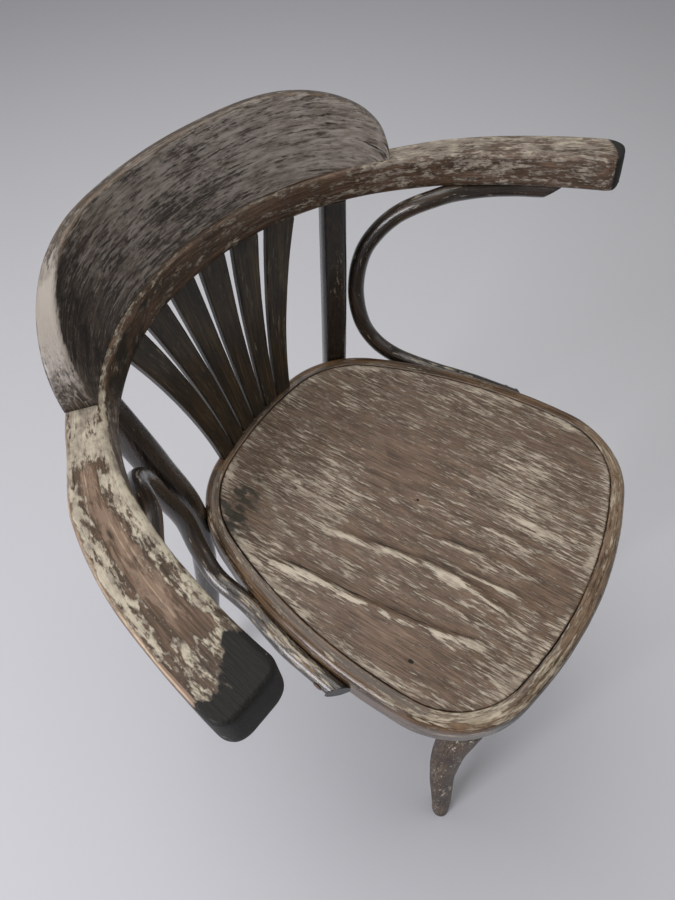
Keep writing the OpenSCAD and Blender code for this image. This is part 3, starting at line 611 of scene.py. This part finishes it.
def make_bow():
    """The bow's section is a rounded rectangle, carried along its line of tangent arcs.

    Its width eases from the back's to the arms', and over the last millimetres the sides, the top and
    the bottom draw in along quarter circles.
    """
    rows = 700
    turn = np.linspace(-ARM_TURN, ARM_TURN, rows)
    turn = np.sign(turn) * ARM_TURN * (1 - (1 - np.abs(turn) / ARM_TURN) ** 1.25)
    to_tip = np.radians(ARM_TURN - np.abs(turn)) * ARM_RADIUS
    inner, outer, drop = (r - np.sqrt(np.maximum(0, r * r - (r - np.minimum(to_tip, r)) ** 2))
                          for r in (RIGHT_TIP, np.where(turn < 0, RIGHT_TIP, LEFT_TIP), TIP_EDGE))
    width = mixed(BOW_WIDTH, ARM_WIDTH, eased((np.abs(turn) - BEND_TURN + 13) / 21))
    lo, hi = inner, width - outer
    corners = section_corners((lo, -drop), (lo, drop - BOW_THICK), (hi, drop - BOW_THICK), (hi, -drop))
    section = rounded_section(corners, np.array([[5.5, 7.0, 7.0, 4.5]]), bend=7, flat=10)
    across, high = section[..., 0], section[..., 1]
    points = bow_point(turn[:, None] + 0 * across, across, high)
    normal = outward(points, False)
    points = uneven(points, False, seed=3, amount=0.5, size=(70, 70, 70))
    # out is the share of the width patches it, run the turn either way, tip the millimetres to the end
    out = across / width[:, None]
    run = np.abs(turn)[:, None] + 0 * out
    right = turn[:, None] < 0
    tip = to_tip[:, None] + 0 * out
    patches = noise(points, (40, 40, 40), 8)
    fine = noise(points, (9, 9, 9), 9)
    upper = eased(normal[..., 2] * 1.6)
    arm = eased((run - 40) / 6)
    # right arm: closed paint near the crest, further on a bare strip between two painted edges;
    # left arm: thinner, darker paint all along
    strip = hump(out, 0.50 + 0.08 * patches, 0.27) * eased((tip - 36) / 30) * (1 - eased((tip - 205) / 50))
    right_paint = 0.72 + 0.10 * patches - 0.62 * strip - 0.22 * eased((80 - tip) / 40)
    left_paint = 0.52 + 0.13 * patches + 0.10 * fine + 0.10 * hump(out, 0.8, 0.3)
    on_top = mixed(0.36 + 0.1 * fine, np.where(right, right_paint, left_paint), arm)
    paint = mixed(0.33 + 0.12 * fine + 0.08 * arm * (out < 0.3), on_top, upper)
    # the sides and the underside take darker paint than the top: painted shade
    tone = (np.where(right, 0.10 * eased((200 - tip) / 80), -0.11 + 0.06 * fine) * upper
            - 0.10 * (1 - upper))
    edges = near_corners(section, corners, 6.0) * (high > -14)
    inner_edge, outer_edge = edges * (out < 0.4), edges ** 2 * (out > 0.6)
    wear = 0.20 + 0.46 * strip * right + 0.85 * outer_edge * right + 0.30 * outer_edge + 0.45 * inner_edge
    paint = paint - 0.5 * outer_edge * right
    # inner side and inner underside darken towards the sitter's right: painted shade over an even patina
    toward_right = eased((25 - turn[:, None]) / 60) * (1 - 0.6 * arm)
    grime_and_shade = 0.20 + (1 - upper) * (out < 0.3) * (0.04 + 0.46 * toward_right) + 0.08 * patches
    grime_and_shade = grime_and_shade * (1 - 0.6 * edges)
    # where hands gripped the ends
    gripped = np.where(right, 24 + 34 * eased(1 - 1.4 * out) + 18 * patches + 8 * fine, 5 + 16 * out * out)
    dark = 0.78 * eased((gripped - tip) / np.where(right, 40, 7) + 0.5) + 0.16 * fine * (tip < 110) * right
    grime_and_shade = grime_and_shade + 0.22 * eased((gripped + 22 - tip) / 20 + 0.5) * right
    fields = {"grain": straightened(points), "paint": paint, "tone": tone, "wear": wear * (tip > 12),
              "grime_and_shade": grime_and_shade, "dark": dark * (tip < 110)}
    return piece("bow", "arm_bow", bow_material, points, fields)


def make_crest():
    """The crest is a board whose height follows a quarter ellipse at each end.

    Its four corners at a turn are the foot's two edges and the top's two edges, mixed by the height.
    """
    rows = 460
    turn = mixed(-CREST_RIGHT, CREST_LEFT, 0.5 - 0.5 * np.cos(np.linspace(0, np.pi, rows)))
    end = np.where(turn < 0, CREST_RIGHT, CREST_LEFT) - np.abs(turn)
    s = np.minimum(CREST_FALL, np.radians(np.maximum(end, 0)) * BACK_RADIUS)
    h = CREST_LIP + (CREST_H - CREST_LIP) * np.sqrt(1 - (1 - s / CREST_FALL) ** 2)
    up = h / CREST_H
    top_in = CREST_INNER + CREST_LEAN - CREST_H * math.sin(BOW_TILT) * cosd(turn)
    face = mixed(CREST_INNER, top_in, up)
    rear = mixed(BOW_WIDTH - 1, top_in + CREST_TOP, up)
    zero = np.zeros(rows)
    corners = section_corners((zero + CREST_INNER, zero), (zero + BOW_WIDTH - 1, zero), (rear, h), (face, h))
    round_top = np.minimum(4.0, 0.45 * h)
    reach = np.stack([zero + 0.3, zero + 0.3, round_top, round_top], axis=1)
    section = rounded_section(corners, reach, bend=7, flat=22)
    across, high = section[..., 0], section[..., 1]
    points = bow_point(turn[:, None] + 0 * across, across, high)
    normal = outward(points, False)
    points = uneven(points, False, seed=5, amount=0.4, size=(60, 60, 60))
    rise = high / CREST_H
    top = np.clip(normal[..., 2], 0, 1) ** 2
    where = turn[:, None] + 0 * rise
    patches = noise(points, (55, 55, 40), 12)
    fine = noise(points, (7, 7, 5), 13)
    far_right = eased((-where - 24) / 12)
    # closed paint, thinner at the middle of the back, gone at the right end but for its top, which is painted
    # pale as a highlight
    paint = (0.58 + 0.08 * patches + 0.08 * fine + 0.10 * eased((where - 8) / 20)
             - 0.12 * hump(where, -2, 22) * hump(rise, 0.3, 0.25) - 0.40 * hump(where, -35, 13) * (1 - top)
             + 0.6 * top * far_right - 0.30 * top * (1 - far_right))
    # the pale tone on the right end's top is a painted highlight
    tone = (0.02 + 0.12 * hump(where, 8, 12) * hump(rise, 0.6, 0.3)
            - 0.05 * eased((-where - 5) / 20) * (1 - top)
            + (0.34 + 0.2 * patches + 0.2 * fine) * top * far_right * hump(where, -38, 8))
    edges = near_corners(section, corners, 8.0) * (rise > 0.3 * up[:, None])
    wear = 0.15 + 0.30 * edges + 0.26 * top * (1 - far_right)
    grime_and_shade = (0.22 + 0.38 * hump(where, -35, 13) * (1 - top)
             + 0.16 * hump(rise, 0.3, 0.25) * hump(where, 2, 16) + 0.05 * patches + 0.08 * fine - 0.2 * top)
    fields = {"grain": straightened(points), "paint": paint, "tone": tone, "wear": wear, "grime_and_shade": grime_and_shade}
    return piece("crest_board", "crest_rail", crest_material, points, fields)


def make_rim():
    """The rim is a rounded bar with a rebate for the panel, carried round the seat's outline."""
    rows = 900
    line, out_dir, run = seat_line(rows)
    ledge = SEAT_HEIGHT - PANEL - SEAT_GAP
    corners = np.array([[[RIM_OUT, RIM_TOP], [0.1, RIM_TOP], [0.1, ledge], [-RIM_IN, ledge],
                         [-RIM_IN, RIM_BOTTOM], [RIM_OUT, RIM_BOTTOM]]])
    corners = np.broadcast_to(corners, (rows, 6, 2))
    section = rounded_section(corners, np.array([[10.0, 1.8, 0.3, 1.0, 5.0, 9.0]]), bend=8, flat=7)
    out, high = section[..., 0], section[..., 1]
    flat = line[:, None] + out_dir[:, None] * section[..., :1]
    points = np.concatenate([flat, section[..., 1:]], axis=-1)
    points = uneven(points, True, seed=7, amount=0.35, size=(50, 50, 50))
    grain = np.stack([run[:, None] + 0 * out, out, high], -1) * MM
    # its top is painted and rubbed at the front, its rear greasy; its sides are painted darker than its top,
    # and black towards the front and the sitter's left, as painted shade
    top = eased((high - RIM_TOP + 8) / 7)
    side = out_dir[:, 0][:, None] + 0 * top
    front = -out_dir[:, 1][:, None] + 0 * top
    patches = noise(points, (60, 60, 60), 15)
    inner_line = hump(out, 0.1, 0.8) * (high > ledge)
    rear, lit = eased(-front - 0.1), eased(-side - 0.2)
    paint = 0.24 + 0.10 * patches + 0.20 * top * hump(front, 0.75, 0.35) + 0.10 * top * lit
    wear = 0.16 + top * (0.40 * eased(front + 0.3) + 0.22 * eased(side + 0.2)) * (1 - rear) + 0.10 * patches
    # the terms in (1 - top) paint shade on the sides, deepest towards the front and the sitter's left
    grime_and_shade = (0.24 + 0.45 * (1 - top) * eased(front + side + 0.1) + 0.34 * rear + 0.10 * patches
             + 0.20 * (1 - top))
    # the black on the sides in (1 - top) is painted shade
    fields = {"grain": grain, "paint": paint, "wear": wear * (1 - 0.6 * inner_line), "grime_and_shade": grime_and_shade,
              "dark": (0.50 + 0.3 * patches) * inner_line + 0.62 * (1 - top) * eased(front + side + 0.4)}
    return piece("rim", "seat_rim", rim_material, points, fields, loop=True)


# Waves of the lifted veneer: the line of each fold's foot, its height, how far its gentle side
# reaches and how sharp its steep side is. Lines are (x, y) points from the seat's middle.
FOLDS = [
    (((-133, 96), (-126, 42), (-125, 3), (-120, -30), (-117, -61), (-109, -95), (-98, -138)), 6.0, 17, 1.6),
    (((-76, 62), (-67, 3), (-58, -47), (-57, -81), (-59, -135)), 5.0, 15, 2.0),
    (((-50, -55), (-47, -90), (-44, -121), (-43, -158)), 3.4, 9, 1.6),
    (((-33, -15), (-25, -69), (-19, -110), (-18, -155)), 3.2, 10, 1.8),
    (((-85, -50), (-87, -86), (-91, -125)), 2.3, 6, 1.3),
    (((-63, -84), (-63, -119), (-64, -152)), 2.2, 6, 1.3),
    (((2, -40), (8, -90), (10, -150)), 2.0, 9, 2.2),
    (((-98, 110), (-96, 40), (-95, -20)), 0.9, 12, 3.0),
    (((30, -60), (34, -100), (36, -150)), 1.4, 8, 2.5),
]


def fold_height(x, y):
    """Sum over the folds of height * exp(-|d| / reach) / (1 + exp(d / sharp)), where d is the distance
    past the fold's foot along x, faded out towards the two ends of its line. Also gives how near a point
    is to the split at a fold's foot, which is painted black as a split with shade in it, to the top of
    its rise, where the paint is painted paler as a highlight, and to the trough past its foot, which is
    painted shade."""
    total, crack_and_shade, ridge_paint_and_highlight, valley_shade = (np.zeros_like(x) for _ in range(4))
    for line, height, reach, sharp in FOLDS:
        line = np.array(line[::-1], float)
        foot = np.interp(y, line[:, 1], line[:, 0])
        d = x - foot
        ends = eased((y - line[0, 1]) / 30) * eased((line[-1, 1] - y) / 34)
        total += ends * height * np.exp(-np.abs(d) / reach) / (1 + np.exp(np.clip(d / sharp, -30, 30)))
        crack_and_shade += ends * min(1, height / 3) * hump(d, 1.0 + sharp, 1.2)
        ridge_paint_and_highlight += ends * min(1, height / 3) * hump(d, -0.25 * reach, 0.28 * reach)
        valley_shade += ends * min(1, height / 3) * hump(d, 3 + sharp, 4.5)
    return total, np.clip(crack_and_shade, 0, 1), np.clip(ridge_paint_and_highlight, 0, 1), np.clip(valley_shade, 0, 1)


# Patches on the seat: strength, middle x, width, middle y, length. More paint at the left front, the right
# rear and the right front corner, less where one sits, at the right side and at the middle of the front
SEAT_PAINT = ((0.13, 46, 60, -95, 55), (0.10, -58, 45, 92, 55), (0.18, -120, 22, -150, 22),
              (-0.26, 22, 40, 30, 46), (-0.24, -140, 30, -50, 60), (-0.16, -25, 34, -170, 30))
SEAT_WEAR = ((0.10, 22, 50, 30, 60),)
# A dark stain at the right rear edge
SEAT_STAIN = ((0.50, -100, 28, 148, 26), (0.32, -126, 20, 134, 20))


def patches_at(x, y, patches):
    """Sum of strength * bell in x * bell in y over the patches."""
    return sum(strength * hump(x, at_x, wide) * hump(y, at_y, long)
               for strength, at_x, wide, at_y, long in patches)


def make_panel():
    """The panel is a plate on rings: each ring is the seat's outline shrunk towards its middle.

    Ring by ring it runs from the middle of the underside out to the edge, up, and back to the middle of
    the top, whose height is the plate's plus the folds of the lifted veneer.
    """
    around = 540
    rings = 165
    line = seat_line(around)[0]
    edge = line * (1 - 0.3 / np.linalg.norm(line, axis=-1, keepdims=True))
    share = np.concatenate([[0.002, 0.3, 0.7, 0.97, 0.998, 1.0, 1.0, 0.9985],
                            np.linspace(0.996, 0.002, rings)])
    z = np.concatenate([[-PANEL] * 4, [-PANEL + 0.2, -PANEL + 0.8, -0.9, -0.25], np.zeros(rings)])
    flat = share[:, None, None] * edge
    x, y = flat[..., 0], flat[..., 1]
    inside = eased((1 - share) / 0.10)[:, None] * (z == 0)[:, None]
    folds, crack_and_shade, ridge_paint_and_highlight, valley_shade = fold_height(x, y)
    plane = np.stack([x, y, 0 * x], -1)
    ripple = noise(plane, (9, 70, 9), 17) * 0.35
    # two nail holes
    holes = hump(np.hypot(x, y + 3), 0, 1.7) + hump(np.hypot(x + 149, 0.7 * (y + 75)), 0, 2.0)
    height = SEAT_HEIGHT + z[:, None] + inside * (folds + ripple - 0.4 - 1.2 * holes)
    points = np.concatenate([flat, height[..., None]], axis=-1)
    # grain runs from front to back
    grain = np.stack([y, x, 0 * x], axis=-1) * MM
    spots = noise(plane, (26, 60, 26), 19)
    fine = noise(plane, (6, 24, 6), 20)
    edge_paint = eased((share[:, None] - 0.93) / 0.05) * (share[:, None] < 0.995)
    # more, paler paint along each fold's top is paint and painted highlight; less past its foot is painted
    # shade
    paint = (0.40 + 0.06 * spots + 0.07 * fine + 0.24 * edge_paint * (0.6 + 0.5 * spots)
             + 0.30 * ridge_paint_and_highlight * (1 + fine) - 0.22 * valley_shade + patches_at(x, y, SEAT_PAINT))
    tone = -0.04 + 0.06 * spots + 0.16 * ridge_paint_and_highlight
    wear = 0.22 + 0.10 * spots + patches_at(x, y, SEAT_WEAR)
    stain = patches_at(x, y, SEAT_STAIN)
    # the darkening past each fold's foot is painted shade
    grime_and_shade = 0.18 + 0.04 * fine + stain * (1 + 0.9 * fine) + 0.32 * valley_shade * inside
    # the black line at each fold's foot is a split with painted shade in it
    dark = (0.66 * crack_and_shade * (0.9 + 0.4 * fine) * inside + 1.1 * holes
            + (0.45 + 0.3 * spots) * (share[:, None] > 0.996))
    fields = {"grain": grain, "paint": paint, "tone": tone, "wear": wear, "grime_and_shade": grime_and_shade, "dark": dark}
    return piece("seat_panel_veneer", "seat_panel", seat_material, points, fields)


def make_slat(i):
    """A slat rises beside its neighbours, then sweeps out, widens and turns with the bow."""
    number = i - (SLATS + 1) / 2
    set_back = SLAT_THICK / 2 + 2
    head_turn = math.degrees((number * SLAT_PITCH + HEAD_SHIFT) / (BACK_RADIUS + set_back))
    foot_x = number * FOOT_PITCH + FOOT_SHIFT
    foot_y = SEAT_BACK + RIM_OUT - SLAT_THICK / 2 - 2.5 - foot_x ** 2 / (2 * BACK_R)
    foot = np.array([foot_x, foot_y, RIM_TOP])
    head = bow_point(np.array(head_turn), set_back, -BOW_THICK)
    foot_turn = math.degrees(foot_x / BACK_R)
    rows = 150
    t = np.linspace(-0.02, 1.02, rows)
    inside = np.clip(t, 0, 1)
    sweep = 0.45 * inside + 0.55 * inside ** 2
    half = mixed(SLAT_FOOT, SLAT_TOP, eased(0.5 * inside) * 2) / 2
    turn = mixed(foot_turn, head_turn, sweep)
    thick = 0 * half + SLAT_THICK / 2
    corners = section_corners((half, thick), (-half, thick), (-half, -thick), (half, -thick))
    section = rounded_section(corners, np.full((1, 4), 2.2), bend=5, flat=7)
    across, through = section[..., 0], section[..., 1]
    c, s = cosd(turn)[:, None], sind(turn)[:, None]
    x = mixed(foot[0], head[0], sweep)[:, None] + across * c + through * s
    y = mixed(foot[1], head[1], t)[:, None] - across * s + through * c
    z = mixed(foot[2], head[2], t)[:, None] + 0 * x
    points = uneven(np.stack([x, y, z], -1), False, seed=20 + i, amount=0.3, size=(30, 30, 60))
    grain = np.stack([z - RIM_TOP, across + 60 * i, through], -1) * MM
    patches = noise(points, (16, 16, 60), 25)
    edges = near_corners(section, corners, 3.0)
    fields = {"grain": grain, "paint": 0.5 + 0.16 * patches, "wear": 0.20 + 0.22 * edges + 0.1 * patches,
              "grime_and_shade": 0.26 + 0.16 * patches + 0.30 * eased((z - head[2] + 30) / 26)}
    return piece(f"slat_{i}_board", f"slat_{i}", slat_material, points, fields)


def level_rings(path, half, power, turn, n):
    """Level superellipses about a path: each axis is half * sign(cos w) |cos w|^power."""
    w = np.linspace(0, 2 * np.pi, n, endpoint=False)[None]
    cw, sw = np.cos(w), np.sin(w)
    x = half[:, None] * np.sign(cw) * np.abs(cw) ** power[:, None]
    y = half[:, None] * np.sign(sw) * np.abs(sw) ** power[:, None]
    c, s = cosd(turn), sind(turn)
    return np.stack([path[:, :1] + x * c - y * s, path[:, 1:2] + x * s + y * c,
                     path[:, 2:] + 0 * x], -1)


def mirrored(points, side):
    """The piece on the sitter's left for side 1, and its mirror image for side -1."""
    return points * [side, 1, 1]


def standing_skin(path, half, power, turn, side, seed, amount, size):
    """Level rings made uneven and kept above the floor, with the grain running up them."""
    points = mirrored(level_rings(path, half, power, turn, 56), side)
    points = uneven(points, False, seed + side, amount, size)
    points[..., 2] = np.maximum(points[..., 2], 0)
    return points, np.stack([points[..., 2], points[..., 0], points[..., 1]], -1) * MM


def make_post(side, word):
    """A rear leg: squarish beside the back, round below, thinning from the rim down to the foot."""
    path = POST_PATH
    below = np.maximum(0, 1 - path[:, 2] / RIM_BOTTOM)
    half = mixed(POST_HALF, FOOT / 2, below)
    half = half - FOOT_SLOPE * np.maximum(0, FOOT_EDGE - path[:, 2])
    power = mixed(0.62, 0.95, np.minimum(1, below * 1.6))
    points, grain = standing_skin(path, half, power, POST_TURN, side, 31, 0.35, (30, 30, 80))
    patches = noise(points, (20, 20, 70), 33)
    low = eased(1 - path[:, 2] / 110)[:, None]
    fields = {"grain": grain, "paint": 0.5 + 0.2 * patches + 0.1 * low,
              "wear": 0.16 + 0.14 * patches + 0.2 * low, "grime_and_shade": 0.25 + 0.1 * patches}
    return piece(f"rear_leg_{word}", f"rear_post_{word}", post_material, points, fields)


def make_leg(side, word):
    """A front leg: round, thick under the rim, curving forward and thinning towards the foot."""
    path = LEG_PATH
    up = np.clip(path[:, 2] / LEG_UP, 0, 1)
    half = mixed(FOOT, LEG_TOP, up ** 0.75) / 2
    near_end = np.maximum(0, FOOT_EDGE - path[:, 2]) + np.maximum(0, path[:, 2] - LEG_UP + FOOT_EDGE)
    half = half - FOOT_SLOPE * near_end
    power = np.ones(len(path))
    points, grain = standing_skin(path, half, power, LEG_TURN, side, 41, 0.4, (30, 30, 60))
    patches = noise(points, (20, 20, 50), 43)
    low = eased(1 - path[:, 2] / 160)[:, None]
    fields = {"grain": grain, "paint": 0.5 + 0.2 * patches + 0.12 * low,
              "wear": 0.22 + 0.2 * patches + 0.16 * low, "grime_and_shade": 0.22 + 0.15 * patches + 0.1 * low}
    return piece(f"front_leg_{word}_turned", f"front_leg_{word}", leg_material, points, fields)


def round_rings(path, radius, n):
    """Circles square to a path: radius * (cos w * side + sin w * lift), with side and lift across it."""
    tangent = unit(np.gradient(path, axis=0))
    lift = unit(np.cross(tangent, [1.0, 0.0, 0.0]))
    side = np.cross(lift, tangent)
    w = np.linspace(0, 2 * np.pi, n, endpoint=False)[None, :, None]
    return path[:, None] + radius[:, None, None] * (np.cos(w) * side[:, None] + np.sin(w) * lift[:, None])


def make_support(side, word):
    """An arm support: one round rod along its bent line, its two ends cut on a slope.

    A point past the plane of a cut, by a distance d along its normal, moves back by d along y.
    """
    path = SUPPORT_PATH
    run = np.concatenate([[0], np.cumsum(np.linalg.norm(np.diff(path, axis=0), axis=1))])
    end = np.minimum(run, run[-1] - run)
    left = ROD_EDGE - np.minimum(end, ROD_EDGE)
    radius = SUPPORT_HALF - (ROD_EDGE - np.sqrt(ROD_EDGE ** 2 - left ** 2))
    rings = round_rings(path, radius, 48)
    for rows, place, slope in ((slice(0, 60), under_arm(ARM_END + SUPPORT_HALF, 0.38), [0, -1, -1]),
                               (slice(-60, None), beside_rim(SUPPORT_HALF - SUPPORT_REACH, -3), [1, -1, 0])):
        rings[rows, :, 1] += np.maximum(0, (rings[rows] - place) @ np.array(slope, float))
    points = mirrored(rings, side)
    points = uneven(points, False, seed=51 + side, amount=0.3, size=(40, 40, 40))
    grain = straightened(points)
    # shifted 3 m along the pattern, either way, so that the two rods differ
    grain[..., 0] += 3 * side
    patches = noise(points, (40, 40, 40), 53)
    up = np.clip((rings - path[:, None])[..., 2] / SUPPORT_HALF, 0, 1)
    lower = eased((run - run[-1] * 0.62) / 60)[:, None]
    wear_here = (0.62 if side < 0 else 0.35) * lower * up
    fields = {"grain": grain, "paint": 0.45 + 0.15 * patches + 0.30 * wear_here,
              "wear": 0.14 + 0.12 * patches + 0.55 * wear_here,
              "grime_and_shade": 0.22 + 0.1 * patches, "dark": 0.9 * (1 - eased((end - 6) / 8))[:, None] + 0 * up}
    return piece(f"arm_support_{word}_rod", f"arm_support_{word}", support_material,
                 points, fields)


make_bow()
make_crest()
make_rim()
make_panel()
for number in range(1, SLATS + 1):
    make_slat(number)
for side, word in ((1, "left"), (-1, "right")):
    make_post(side, word)
    make_leg(side, word)
    make_support(side, word)

steel = rusty_steel()
for node in ("post_bolts", "post_nuts", "support_rim_screws", "support_arm_screws", "crest_screws"):
    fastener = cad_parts[node]
    fastener.data.materials.clear()
    fastener.data.materials.append(steel)


# ---- floor, lights and camera ----

def make_floor():
    """Plain pale matt floor, 8 m square."""
    mesh = bpy.data.meshes.new("floor")
    half = 4.0
    mesh.from_pydata([(-half, -half, 0), (half, -half, 0), (half, half, 0), (-half, half, 0)], [],
                     [(0, 1, 2, 3)])
    material = bpy.data.materials.new("pale_matt_floor")
    material.use_nodes = True
    shader = material.node_tree.nodes["Principled BSDF"]
    shader.inputs["Base Color"].default_value = linear("#c9cad0")
    shader.inputs["Roughness"].default_value = 0.9
    mesh.materials.append(material)
    placed("floor", mesh)


def soft_light(name, place, target, size, power, code):
    """A square soft box of a size in metres and a power in watts, at a place, facing a target."""
    light = bpy.data.lights.new(name, "AREA")
    light.shape, light.size, light.energy, light.color = "SQUARE", size, power, linear(code)[:3]
    lamp = placed(name, light)
    lamp.location = place
    lamp.rotation_euler = (Vector(target) - Vector(place)).to_track_quat("-Z", "Y").to_euler()


make_floor()
MIDDLE = (0.0, 0.0, 0.45)
soft_light("window", (-2.2, 0.5, 1.25), MIDDLE, 0.9, 36.0, "#fbfaff")
soft_light("ceiling", (0.2, 0.6, 2.6), MIDDLE, 2.2, 38.0, "#fffdf9")
soft_light("fill", (0.9, -2.2, 1.6), MIDDLE, 2.0, 8.0, "#fff8f0")

world = bpy.data.worlds.new("even_grey")
bpy.context.scene.world = world
world.use_nodes = True
world.node_tree.nodes["Background"].inputs["Color"].default_value = linear("#e4e4e4")
world.node_tree.nodes["Background"].inputs["Strength"].default_value = 0.32


def make_camera():
    """A camera above the sitter's right, looking down at the seat, by its right, up and view axes."""
    azimuth, pitch, roll = math.radians(-58.11), math.radians(53.99), math.radians(0.15)
    view = np.array([-math.sin(azimuth) * math.cos(pitch), math.cos(azimuth) * math.cos(pitch),
                     -math.sin(pitch)])
    right = np.array([math.cos(azimuth), math.sin(azimuth), 0.0])
    up = np.cross(right, view)
    right, up = (math.cos(roll) * right + math.sin(roll) * up,
                 math.cos(roll) * up - math.sin(roll) * right)
    camera_data = bpy.data.cameras.new("camera")
    camera_data.sensor_width, camera_data.lens = 36.0, 26.25
    camera_data.clip_start, camera_data.clip_end = 0.02, 30.0
    camera = placed("camera", camera_data)
    basis = np.eye(4)
    basis[:3, 0], basis[:3, 1], basis[:3, 2] = right, up, -view
    basis[:3, 3] = (np.array([-341.0, -119.0, 1023.0]) + [0, SEAT_Y, 0]) * MM
    camera.matrix_world = Matrix(basis.tolist())
    bpy.context.scene.camera = camera


make_camera()
bpy.context.scene.view_settings.view_transform = "Standard"
